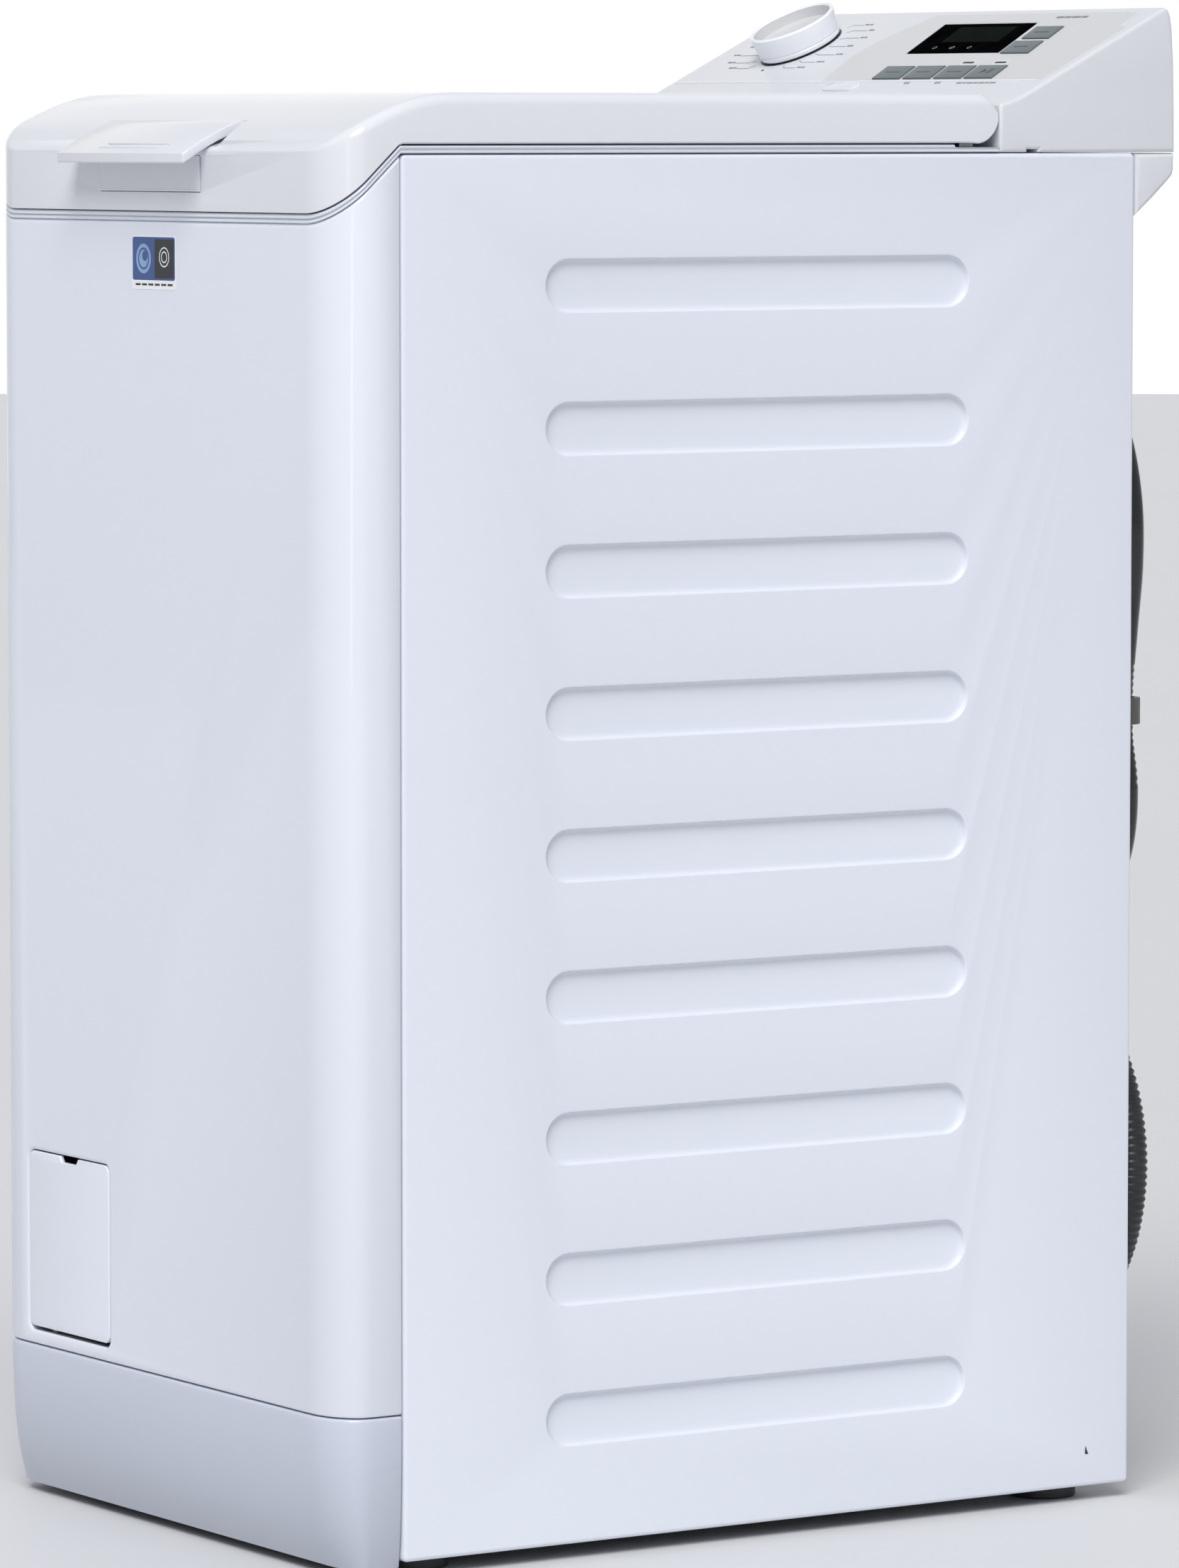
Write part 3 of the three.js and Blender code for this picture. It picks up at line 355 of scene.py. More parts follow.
# ---- meshes ----
class Shape:
    """Vertices and faces in millimetres, gathered ring by ring."""

    def __init__(self):
        self.points = []
        self.faces = []

    def ring(self, points):
        start = len(self.points)
        self.points.extend(points)
        return list(range(start, len(self.points)))

    def bridge(self, a, b, closed=True):
        for i in range(len(a) if closed else len(a) - 1):
            j = (i + 1) % len(a)
            self.faces.append((a[i], a[j], b[j], b[i]))

    def tower(self, rings, closed=True):
        made = [self.ring(r) for r in rings]
        for a, b in zip(made, made[1:]):
            self.bridge(a, b, closed)
        return made

    def plate(self, outer, holes=()):
        loops = [outer, *holes]
        flat = [i for loop in loops for i in loop]
        lines = [[Vector(self.points[i]) for i in loop] for loop in loops]
        self.faces.extend(tuple(flat[i] for i in t) for t in tessellate_polygon(lines))

    def build(self, name, material, body, slot=None, hides=(), crease=38):
        mesh = bpy.data.meshes.new(name)
        mesh.from_pydata([Vector(p) * MM for p in self.points], [], self.faces)
        bm = bmesh.new()
        bm.from_mesh(mesh)
        bmesh.ops.remove_doubles(bm, verts=bm.verts, dist=2e-6)
        bmesh.ops.recalc_face_normals(bm, faces=bm.faces)
        bm.to_mesh(mesh)
        bm.free()
        return settle(bpy.data.objects.new(name, mesh), material, body, hides, crease)


def settle(obj, material, body, hides, crease):
    """Gives a new piece its material and its body, and hides the CAD nodes that it stands for."""
    obj.data.materials.clear()
    obj.data.materials.append(mat[material])
    obj.data.shade_smooth()
    obj.data.set_sharp_from_angle(angle=math.radians(crease))
    if obj.name not in bpy.context.scene.collection.objects:
        bpy.context.scene.collection.objects.link(obj)
    if body:
        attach(obj, body)
    if hides:
        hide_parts(*hides)
    return obj


def round_over(r, steps=4):
    """(inset, drop) pairs of a quarter round, from the side wall to the top."""
    turns = [math.pi / 2 * i / steps for i in range(steps + 1)]
    return [(r * (1 - math.cos(a)), r * (1 - math.sin(a))) for a in turns]


def slab(shape, outline, low, high, place, r_low=0.0, r_high=0.8, steps=3):
    """A closed prism of an outline with rounded edges; place(u, v, w) gives the point in space."""
    rings = []
    for d, drop in reversed(round_over(r_low, steps) if r_low else [(0, 0)]):
        rings.append([place(u, v, low + drop) for u, v in inset(outline, d)])
    for d, drop in (round_over(r_high, steps) if r_high else [(0, 0)]):
        rings.append([place(u, v, high - drop) for u, v in inset(outline, d)])
    made = shape.tower(rings)
    shape.plate(made[0][::-1])
    shape.plate(made[-1])


def lathe(shape, profile, place, sides=48, closed=False):
    """Turns (w, radius) points about w; place(u, v, w) gives the point in space."""
    rings = [[place(*p, w) for p in circle(0, 0, max(r, 0.01), sides)] for w, r in profile]
    made = shape.tower(rings)
    if closed:
        shape.bridge(made[-1], made[0])


def lip(shape, outline_at, profile, place):
    """Rings round a hole or a pressing: outline_at(offset), then (offset, depth) pairs."""
    return shape.tower([[place(u, v, -depth) for u, v in outline_at(offset)] for offset, depth in profile])


def along_x(u, v, w):
    return (w, u, v)


def along_z(u, v, w):
    return (u, v, w)


def facing_front(u, v, w):
    """(u, v) is (x, z) and w comes out of the front panel."""
    return (u, FRONT_Y - w, v)


def on_face(x, s, n=0.0):
    """A point on the console's sloping face: x across, s up the slope, n out of it."""
    return (x, FACE_Y + s * math.cos(FACE_TILT) - n * math.sin(FACE_TILT),
            FACE_Z + s * math.sin(FACE_TILT) + n * math.cos(FACE_TILT))


def refine(node, material, body, slot, width=0.8, crease=38):
    """A copy of a CAD node with its edges rounded."""
    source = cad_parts[node]
    obj = bpy.data.objects.new(f"{node}_moulded", source.data.copy())
    bm = bmesh.new()
    bm.from_mesh(obj.data)
    bmesh.ops.remove_doubles(bm, verts=bm.verts, dist=1e-6)
    bmesh.ops.dissolve_limit(bm, angle_limit=math.radians(1), verts=bm.verts, edges=bm.edges)
    bm.to_mesh(obj.data)
    bm.free()
    settle(obj, material, body, (node,), crease)
    bevel = obj.modifiers.new("rounded_edges", "BEVEL")
    bevel.width = width * MM
    bevel.segments = 2
    bevel.limit_method = "ANGLE"
    bevel.angle_limit = math.radians(40)
    bevel.harden_normals = False
    return obj


# ---- cabinet ----
def trim_line(y):
    """The line where the front panel meets the light band: level at the sides, sloping down in front."""
    return SIDE_TOP + min(0.0, y - (SEAM_Y + 0.2)) * (SIDE_TOP - TRIM_FRONT) / (SEAM_Y + 0.2 - FRONT_Y)


RIBS = {"count": 9, "length": 293.5, "height": 30, "y": 2.8, "top": 730, "pitch": 81.1}
PRESSING = [(0.9, 0), (0.45, 0.06), (0.12, 0.3), (-0.1, 1.0), (-0.4, 2.2), (-0.8, 3.2), (-1.6, 3.8), (-3, 4)]


def side_panel(side):
    name = "right" if side > 0 else "left"
    y0 = span(f"side_panel_{name}")[2]
    shape = Shape()

    def place(u, v, w):
        return (side * (HALF_W + w), u, v)
    edge = [(0, 9), (0, 2.4), (0.35, 1.1), (1.1, 0.35), (2.4, 0)]
    rings = [[place(u, v, -depth) for u, v in rounded(y0 + d, REAR_Y - d, SIDE_LOW + d, SIDE_TOP - d, 3 - d)]
             for d, depth in edge]
    outer = shape.tower(rings)[-1]
    holes = []
    run = (RIBS["length"] - RIBS["height"]) / 2
    for i in range(RIBS["count"]):
        z = RIBS["top"] - i * RIBS["pitch"]
        made = lip(shape, lambda d: stadium(RIBS["y"], z, run, RIBS["height"] / 2 + d, 16), PRESSING, place)
        holes.append(made[0])
        shape.plate(made[-1])
    shape.plate(outer, holes)
    shape.build(f"side_skin_{name}", "paint", "cabinet", "painted_steel", (f"side_panel_{name}",), 30)
    mark = Shape()
    slab(mark, [(238, 28.6), (240.5, 28.4), (238.4, 33.6)], -0.4, 0.12, place, r_high=0)
    mark.build(f"punch_mark_{name}", "dark", "cabinet", "black_plastic")


def front_path(depth, low_y=None, taper=1.0, rolled=True, steps=14):
    """The front's plan from the right seam to the left one, moved inwards by depth."""
    back = SEAM_Y if low_y is None else low_y
    x, y = HALF_W - depth * taper, FRONT_Y + depth
    rx, ry = CORNER_X - depth * taper, CORNER_Y - depth
    start = [(x - 8, back), (x - 2.2, back), (x - 0.7, back - 0.7), (x, back - 2.2)] if rolled else [(x,
        back)]
    right = start + arc(x - rx, y + ry, rx, ry, 0, -90, steps)
    return right + [(-u, v) for u, v in reversed(right)]


def front_panel():
    shape = Shape()
    roll = [(8, 0), (2.2, 0), (0.7, 0.7), (0, 2.2)]
    rings = [[(x, y, PANEL_LOW + rise) for x, y in front_path(d)] for d, rise in roll]
    rings += [[(x, y, trim_line(y) - rise) for x, y in front_path(d)] for d, rise in reversed(roll)]
    made = shape.tower(rings, closed=False)
    low, high = made[len(roll) - 1], made[len(roll)]
    middle = len(low) // 2
    shape.faces.remove((low[middle - 1], low[middle], high[middle], high[middle - 1]))
    x0, x1, _, _, z0, z1 = span("filter_door")
    door = lip(shape, lambda d: rounded(x0 - 0.6 - d, x1 + 0.6 + d, z0 - 2.5 - d, z1 + 0.7 + d, 6 + d),
               [(2.6, 0), (1.6, 0.12), (0.7, 0.5), (0.1, 1.3), (0, 2.6), (0, 7)], facing_front)
    shape.plate([low[middle - 1], low[middle], high[middle], high[middle - 1]], [door[0]])
    shape.build("front_skin", "paint", "cabinet", "painted_steel", ("front_panel",), 32)


def filter_door():
    x0, x1, _, _, z0, z1 = span("filter_door")
    mid = (x0 + x1) / 2
    notch = [(mid + 11, z1), (mid + 8.5, z1 - 3.6), (mid - 8.5, z1 - 3.6), (mid - 11, z1)]
    r = 5.5
    outline = (arc(x1 - r, z1 - r, r, r, 0, 90, 6) + notch + arc(x0 + r, z1 - r, r, r, 90, 180, 6)
               + arc(x0 + r, z0 + r, r, r, 180, 270, 6) + arc(x1 - r, z0 + r, r, r, 270, 360, 6))
    shape = Shape()
    slab(shape, outline, -2.6, 0, facing_front, r_high=0.9)
    shape.build("filter_flap", "paint", "filter_door", "painted_steel", ("filter_door",), 34)


PLINTH = [(6, 11.8), (15, 8.7), (28, 5.1), (47, 2.3), (70, 0.6), (93, 0)]


def plinth():
    shape = Shape()
    low, high, steps = 6, 93, 20
    foot = curve_through(PLINTH, low) + 6
    rings = [[(x * 0.97, y, low) for x, y in front_path(foot, taper=0.3, rolled=True)]]
    for z in [low + (high - low) * i / steps for i in range(steps)]:
        depth = curve_through(PLINTH, z)
        rings.append([(x, y, z) for x, y in front_path(depth, taper=0.3, rolled=True)])
    for d, drop in round_over(1.8, 4):
        rings.append([(x, y, high - drop) for x, y in front_path(d, taper=1)])
    rings.append([(x, y, high) for x, y in front_path(10, taper=1)])
    shape.tower(rings, closed=False)
    shape.build("plinth_skin", "plinth", "cabinet", "painted_steel", ("plinth",), 34)


def back_panel():
    """A sheet with folded edges, two stiffening beads, an access cover and its screws."""
    x0, x1, _, y1, z0, z1 = span("back_panel")
    shape = Shape()

    def place(u, v, w):
        return (u, y1 + w, v)
    outer = shape.tower([[place(u, v, -depth) for u, v in rounded(x0 + d, x1 - d, z0 + d, z1 - d, 3)]
                         for d, depth in [(0, 4), (0, 1.2), (0.4, 0.4), (1.2, 0)]])[-1]
    holes = []
    bead = [(1.5, 0), (0.6, 0.1), (-0.6, 0.6), (-1.6, 1.3), (-3, 1.6)]
    for z in (306, 526, 690):
        made = lip(shape, lambda d: stadium(0, z, 140, 9 + d), bead, place)
        holes.append(made[0])
        shape.plate(made[-1])
    cover = lip(shape, lambda d: rounded(-120 - d, 120 + d, 345 - d, 490 + d, 14 + d),
                [(2, 0), (1, 0.15), (-0.4, 0.8), (-1.6, 1)], place)
    holes.append(cover[0])
    shape.plate(cover[-1])
    shape.plate(outer, holes)
    shape.build("back_skin", "zinc", "cabinet", "galvanised", ("back_panel",), 30)
    screws = Shape()
    spots = [(u, v) for v in (60, 240, 420, 600, 740) for u in (-188, 188)]
    spots += [(u, v) for u in (-112, 112) for v in (353, 482)]
    for u, v in spots:
        def screw(a, b, w, u=u, v=v):
            return (u + a, y1 + w, v + b)
        lathe(screws, [(0, 4.2), (0.9, 4.1), (1.6, 3), (1.8, 1.8), (1.0, 1.6), (1.0, 0)], screw, 16)
    screws.build("back_screws", "steel", "cabinet", "stainless")


def deck():
    """The band under the lid, with its two grooves, and the deck round the wash opening."""
    shape = Shape()
    band = [(7, 0.55), (1.2, 0.55), (0.45, 0.8), (0.15, 1.25), (0.3, 1.8), (1.0, 2.1), (1.25, 2.6), (1.0,
        3.1),
            (0.4, 3.4), (0.2, 3.9), (0.4, 4.5), (1.0, 4.85), (2, 4.9), (3.2, 4.9)]
    reach = CONSOLE_FRONT - 0.6

    def path(depth):
        return front_path(depth, low_y=reach, rolled=False, steps=14)

    def dense(points):
        """The same path with extra points on the straight sides, where the band bends."""
        (x, back), rest = points[0], points[1:len(points) // 2]
        stops = [back, WELL_Y + 0.2, WELL_Y - 0.2, -150, SEAM_Y + 2, SEAM_Y + 0.2, SEAM_Y - 2, -250]
        right = [(x, y) for y in stops] + rest
        return right + [(-u, v) for u, v in reversed(right)]
    rings = [[(x, y, trim_line(y) + (min(z, 3.4) if y > WELL_Y else z)) for x, y in dense(path(d))] for d,
        z in band]
    top = shape.tower(rings, closed=False)[-1]
    half = len(top) // 2
    for i in (0, 1, *range(5, half - 1)):
        a, b = top[i], top[i + 1]
        shape.faces.append((a, b, top[-2 - i], top[-1 - i]))
    mouth_x, mouth_y, mouth_z = 130, 115, 765
    tray = span("dispenser_tray")
    level = trim_line(0) + 4.9

    def down(u, v, w):
        return (u, v, level + w)
    lip_in = [(3.5, 0), (2, -0.35), (0.9, 0.1), (0.2, 1.0), (0, 2.4), (0, level - mouth_z)]
    mouth = lip(shape, lambda d: rounded(-mouth_x - d, mouth_x + d, AXIS.y - mouth_y - d,
        AXIS.y + mouth_y + d, 14 + d),
                lip_in, down)
    bay = lip(shape, lambda d: rounded(tray[0] - 0.6 - d, tray[1] + 0.6 + d, tray[2] - 0.6 - d,
        tray[3] + 0.6 + d, 3 + d),
              [(1.2, 0), (0.3, 0.3), (0, 1), (0, 8)], down)
    edge = [top[i] for i in (2, 3, 4, 5)] + [top[-1 - i] for i in (5, 4, 3, 2)]
    shape.plate(edge, [mouth[0], bay[0]])
    shape.build("deck_and_band", "trim", "cabinet", "trim_plastic", ("top_frame",), 34)
    # a black strip behind the band: painted shade seen through the gaps above and below it
    shadow_strip = Shape()
    shadow_strip.tower([[(x, y, trim_line(y) + (min(z, 3) if y > WELL_Y else z)) for x, y in dense(path(1.6))]
                for z in (0.05, 5.85)], closed=False)
    shadow_strip.build("band_shadow_strip", "dark", "cabinet", "black_plastic")


# ---- lid ----
LID_PROFILE = [(-283, 806.4), (-279.5, 810.2), (-272, 816.8), (-266, 820.7), (-260, 823.9), (-247, 829.6),
    (-235, 834),
               (-218, 838), (-202, 839), (-180, LID_Z), (180, LID_Z)]
EDGE_SIDE, EDGE_FRONT = 7, 0.9
CURL = {"y": 155.6, "z": 825.0, "r": 15.2}
RECESS = (-65.4, 51.4, 782.4, 803.0)


def lid_top(y):
    bend = 11.0
    z = curve_through(LID_PROFILE, y)
    over = y - (LID_REAR - bend)
    return z - (bend - math.sqrt(max(0, bend * bend - over * over))) if over > 0 else z


def lid_under(y):
    if y > CURL["y"]:
        return CURL["z"] - math.sqrt(max(0, CURL["r"] ** 2 - (y - CURL["y"]) ** 2))
    return trim_line(y) + BAND + 1.4


def scoop(x, y):
    """How far the lid's slope drops away under the handle's lip."""
    return max(0, min(6.4, (y + 281.5) * 0.62)) if -90 < x < 66 and y < -262 else 0


def lid():
    rear = [LID_REAR - 0.05, 170.4, 169.6, 168.4, 166.8, 165, 162.8, 160, 157, 150]
    sides = rear + [100, 0, -100, -180, -200, -209, -218, -227, -235, -238, -241, -244, -247, -254]
    steps = 16
    shape = Shape()

    def path(depth):
        """Right half of the plan, from the rear to the front face, moved inwards by depth(y, turn)."""
        points = []
        for y in sides:
            points.append((LID_SIDE - depth(y, 0), y))
        for i in range(steps + 1):
            turn = i / steps
            a = -math.pi / 2 * turn
            d = depth(-262, turn)
            points.append((LID_SIDE - CORNER_X + (CORNER_X - d) * math.cos(a),
                           FRONT_Y + CORNER_Y + (CORNER_Y - d) * math.sin(a)))
        return points

    def edge(y, turn):
        low = min(EDGE_SIDE, 0.42 * (lid_top(y) - lid_under(y)))
        return low + (EDGE_FRONT - low) * (turn * turn * (3 - 2 * turn))

    def both(points):
        return points + [(-x, y, z) for x, y, z in reversed(points)]

    def under_ring(depth, rise):
        return both([(x, y, lid_under(y) + rise) for x, y in path(lambda *_: depth)])
    rings = [under_ring(2.8, 9), under_ring(2.8, 0.5), under_ring(2.3, 0), under_ring(0.9, 0), under_ring(0,
        0.9)]
    rounding = 6
    for k in range(rounding + 1):
        a = math.pi / 2 * k / rounding

        def depth(y, turn):
            return edge(y, turn) * (1 - math.cos(a))
        ring = []
        flat = path(depth)
        for i, (x, y) in enumerate(flat):
            turn = max(0, i - len(sides)) / steps
            r = edge(sides[i] if i < len(sides) else -262, turn)
            ring.append((x, y, lid_top(max(y, FRONT_Y)) - r * (1 - math.sin(a))))
        rings.append(both(ring))
    made = shape.tower(rings, closed=False)
    count = len(made[0])
    last = made[-1]
    def slotted(a, b, c, d):
        """A strip across the lid, from a-b on the right to d-c on the left, open at the hinge posts."""
        near, far = HINGE_SLOT
        across = []
        for right, left in ((a, d), (b, c)):
            _, y, z = shape.points[right]
            across.append([right, *shape.ring([(u, y, z) for u in (near, far, -far, -near)]), left])
        for k in (0, 2, 4):
            shape.faces.append((across[0][k], across[1][k], across[1][k + 1], across[0][k + 1]))

    bend_row = len(rear)
    for i in range(bend_row):
        corners = (last[i], last[i + 1], last[count - 2 - i], last[count - 1 - i])
        if i < 3:
            slotted(*corners)
        else:
            shape.faces.append(corners)
    rows = []
    for i in range(bend_row, count // 2):
        _, y, z = shape.points[last[i]]
        inner = shape.ring([(u, y, z - scoop(u, y)) for u in (67.5, 65, 61.5, -87.5, -89.5, -92)])
        rows.append([last[i], *inner, last[count - 1 - i]])
    for a, b in zip(rows, rows[1:]):
        shape.bridge(a, b, closed=False)
    for a, b in zip(made[3:], made[4:]):
        slotted(a[0], b[0], b[-1], a[-1])
    bottom = made[3]
    for i in range(len(rear) - 1):
        slotted(bottom[i], bottom[i + 1], bottom[count - 2 - i], bottom[count - 1 - i])
    middle = count // 2
    low, high = made[4], made[5]
    shape.faces.remove((low[middle - 1], low[middle], high[middle], high[middle - 1]))
    x0, x1, z0, z1 = RECESS
    hole = lip(shape, lambda d: rounded(x0 - d, x1 + d, z0 - d, z1 + min(d, 0.5), 1.5 + d, 4),
               [(0.8, 0), (0.25, 0.2), (0, 0.7), (0, 6)], facing_front)
    shape.plate([low[middle - 1], low[middle], high[middle], high[middle - 1]], [hole[0]])
    shape.build("lid_skin", "white", "lid", "white_plastic", ("lid_outer",), 36)


def lid_handle():
    """The lip that the fingers lift, and the pocket behind it."""
    x0, x1 = span("lid_handle")[:2]
    outline = [(-300, 799.8), (-299.2, 798.9), (-294, 801.8), (-288.4, 805.3), (-283.3, 808.2), (-276.7,
        811.5),
               (-270, 814.4), (-265, 816.3), (-261.6, 818), (-260.4, 820.4), (-260.4, 823.2), (-262.4, 823.5),
               (-268, 821.3), (-275, 818.2), (-283.3, 814.2), (-290, 810.6), (-296, 807.1), (-300, 804.5)]
    shape = Shape()
    slab(shape, outline, x0, x1, along_x, 1.0, 1.0)
    shape.build("handle_lip", "white", "lid", "white_plastic", ("lid_handle",), 36)
    pocket = Shape()
    wall = [(-283.2, 803.2), (-283.2, 784), (-272.6, 784), (-262.6, 793.6), (-262.2, 803.2)]
    px0, px1 = x0 + 22.2, x1 - 11.2
    pocket.tower([[(x, y, z) for y, z in wall] for x in (px0, px1)], closed=False)
    for x in (px0, px1):
        pocket.plate(pocket.ring([(x, y, z) for y, z in wall]))
    rim = [[(px0 - d, -283.2 + e, 803), (px0 - d, -283.2 + e, 784 - d), (px1 + d, -283.2 + e, 784 - d),
            (px1 + d, -283.2 + e, 803)] for d, e in ((0, 0), (0.3, -0.2), (1.0, -0.2), (1.3, 0), (1.3, 5))]
    pocket.tower(rim, closed=False)
    pocket.build("handle_pocket", "white", "lid", "white_plastic")
    lines = Shape()
    for u0, u1, y in ((-39, 31, -291.4), (-44, 25, -294.6)):
        z = 808.0 + (y + 294) * 0.7

        def place(u, v, w, y=y, z=z):
            return (u, y + v * 0.82 - w * 0.57, z + v * 0.57 + w * 0.82)
        slab(lines, stadium((u0 + u1) / 2, 0, (u1 - u0) / 2, 0.6, 5), -0.6, 0.7, place, r_high=0.3)
    lines.build("handle_lines", "white", "lid", "white_plastic")


# ---- console ----
CONSOLE = [(CONSOLE_FRONT, SIDE_TOP + 0.4), (192, SIDE_TOP + 0.4), (192, SIDE_TOP + 2.2), (200,
    SIDE_TOP + 2.2),
           (200, SIDE_TOP + 0.4), (OVERHANG, SIDE_TOP + 0.4), (OVERHANG - 0.2, 830), (OVERHANG - 0.9, 858),
           (OVERHANG - 2.2, 878), (OVERHANG - 3.4, 885), (OVERHANG - 5.2, 888.8), (OVERHANG - 8, 890)]
APRON = [(FACE_Y, FACE_Z), (196, 842), (190, 839), (184, 836.4), (178, 834.4), (173.4, 833.4), (CONSOLE_FRONT,
    832)]
KEY_LEAN = -0.25
KEYS = {
    "programme_key_1": (28.2, 17.6, 28.4, 16.6),
    "programme_key_2": (60.2, 17.6, 28.4, 16.6),
    "programme_key_3": (92, 17.6, 28, 16.6),
    "programme_key_4": (123.6, 17.6, 28.4, 16.6),
    "delay_key": (118.8, 51, 28.4, 16),
    "start_key": (115.8, 70.8, 27, 16),
}
DISPLAY = (50.5, 64.5, 95, 40)
DIAL = (-121, 56)


def leaning(x, s, w, h, grow=0.0):
    a, b = w / 2 + grow, h / 2 + grow
    return [(x - a - KEY_LEAN * b, s - b), (x + a - KEY_LEAN * b, s - b),
            (x + a + KEY_LEAN * b, s + b), (x - a + KEY_LEAN * b, s + b)]


def console():
    outline = CONSOLE + APRON
    side_r = 2.6
    shape = Shape()
    ends = []
    for side in (1, -1):
        rings = [[(side * (HALF_W - drop), u, v) for u, v in inset(outline, d)] for d,
            drop in round_over(side_r, 5)]
        made = shape.tower(rings)
        shape.plate(made[-1])
        ends.append(made[0])
    # round_over starts at the wall with no inset and ends flush with the side
    right, left = ends
    count = len(outline)
    face = len(CONSOLE) - 1
    for i in range(count):
        if i != face:
            j = (i + 1) % count
            shape.faces.append((right[i], right[j], left[j], left[i]))
    holes = []
    rims = [leaning(*KEYS[name], 0.5) for name in KEYS]
    rims += [leaning(*DISPLAY, 0.4), circle(*DIAL, 4.2, 16)]
    for rim in rims:
        holes.append(lip(shape, lambda d, rim=rim: inset(rim, -d), [(0.35, 0), (0, 0.3), (0, 2.4)],
            on_face)[0])
    a, b = face, (face + 1) % count
    shape.plate([right[a], left[a], left[b], right[b]], holes)
    shape.build("console_shell", "face", "cabinet", "white_plastic", ("console_housing",), 34)


def power_pill():
    x, mid, w, h = -3, -1.2, 34, 11
    shape = Shape()
    slab(shape, stadium(x, mid, (w - h) / 2, h / 2, 12), -3, 1, on_face, r_high=0.7)
    shape.build("power_pill", "white", "power_button", "white_plastic", ("power_button",))


def dial():
    """A short conical knob with a grooved skirt, a rounded rim and a deep cup with a finger ledge; the cup
    and the ledge are greyer than the knob as painted shade.
    """
    shape = Shape()

    def place(u, v, w):
        return on_face(DIAL[0] + u, DIAL[1] + v, w)
    profile = [(0.7, 3.8), (0.7, 23), (0.8, 25.4), (1.5, 26.1), (3.6, 26.4), (4.1, 26.0), (4.4, 26.0), (4.9,
        26.5),
               (10, 27.2), (15.2, 27.9), (16.5, 27.9), (17.2, 27.4), (17.5, 26.7), (17.3, 25.9), (16.6, 25.3)]
    lathe(shape, profile, place, 72)
    shape.build("dial_knob", "dial", "dial", "white_plastic", ("dial",), 34)
    # the inside of the cup in the darker field grey: painted shade
    cup = Shape()
    lathe(cup, [(16.6, 25.3), (12.4, 24.6), (10.6, 24), (9.7, 22.6), (9.5, 19), (9.5, 0.01)], place, 72)
    cup.build("dial_cup_painted_shade", "field", "dial", "white_plastic", crease=34)
    # the ledge in the face grey, darker than the knob: painted shade
    ledge = Shape()
    heading = math.degrees(math.atan2(-0.5, 0.84))
    chord = math.degrees(math.acos(9 / 23.6))
    slab(ledge, arc(0, 0, 23.6, 23.6, heading - chord, heading + chord, 24), 9.2, 13.2, place, r_high=0.9)
    ledge.build("dial_ledge_painted_shade", "face", "dial", "white_plastic", crease=34)
    # a black ring on the face, just wider than the knob's foot: painted shadow under the knob
    ring = Shape()
    lathe(ring, [(0.02, 20), (0.08, 26.9), (0.02, 27.1)], place, 64)
    ring.build("dial_foot_shadow", "black_ink", "cabinet", "black_plastic")


def keys_and_display():
    for name, (x, s, w, h) in KEYS.items():
        shape = Shape()
        slab(shape, leaning(x, s, w, h), -6, 0.9, on_face, r_high=0.55)
        shape.build(f"{name}_cap", "key", name, "key_plastic", (name,))
        mark = Shape()
        if name == "programme_key_4":
            slab(mark, [(x - 3.4, s - 3), (x + 1.6, s), (x - 3.4, s + 3)], 0.5, 0.94, on_face, r_high=0)
            for u in (3.2, 5.6):
                slab(mark, [(x + u, s - 3), (x + u + 1.2, s - 3), (x + u + 1.2, s + 3), (x + u, s + 3)],
                     0.5, 0.94, on_face, r_high=0)
        else:
            dashes(mark, x - 7, s - 0.4, (4, 3.2, 4.6), 1.1, 0.94)
        mark.build(f"{name}_mark", "black_ink", name, "black_plastic")
    glass = Shape()
    slab(glass, leaning(*DISPLAY), -2, 0.3, on_face, r_high=0.25)
    glass.build("display_glass", "screen", "cabinet", "display_plastic", ("display_window",))
    x, s, w, h = DISPLAY
    panel = Shape()
    slab(panel, leaning(x + 2, s + 5, w * 0.62, h * 0.52), 0.1, 0.33, on_face, r_high=0)
    panel.build("display_panel", "lcd", "cabinet", "display_plastic")
    icons = Shape()
    for u, r in ((-22, 1.7), (-4, 1.9), (14, 1.7)):
        rings = [[on_face(x + u + a, s - 13 + b, 0.36) for a, b in circle(0, 0, q, 20)] for q in (r, r - 0.5)]
        icons.tower(rings)
    dashes(icons, x - 6.4, s - 13.2, (4.8,), 0.5, 0.36)
    icons.build("display_icons", "ink", "cabinet", "display_plastic")


def dashes(shape, x, s, lengths, high, top=0.1, gap=1.0):
    """A row of short bars in place of words."""
    for length in lengths:
        slab(shape, leaning(x + length / 2, s, length, high), top - 0.4, top, on_face, r_high=0)
        x += length + gap


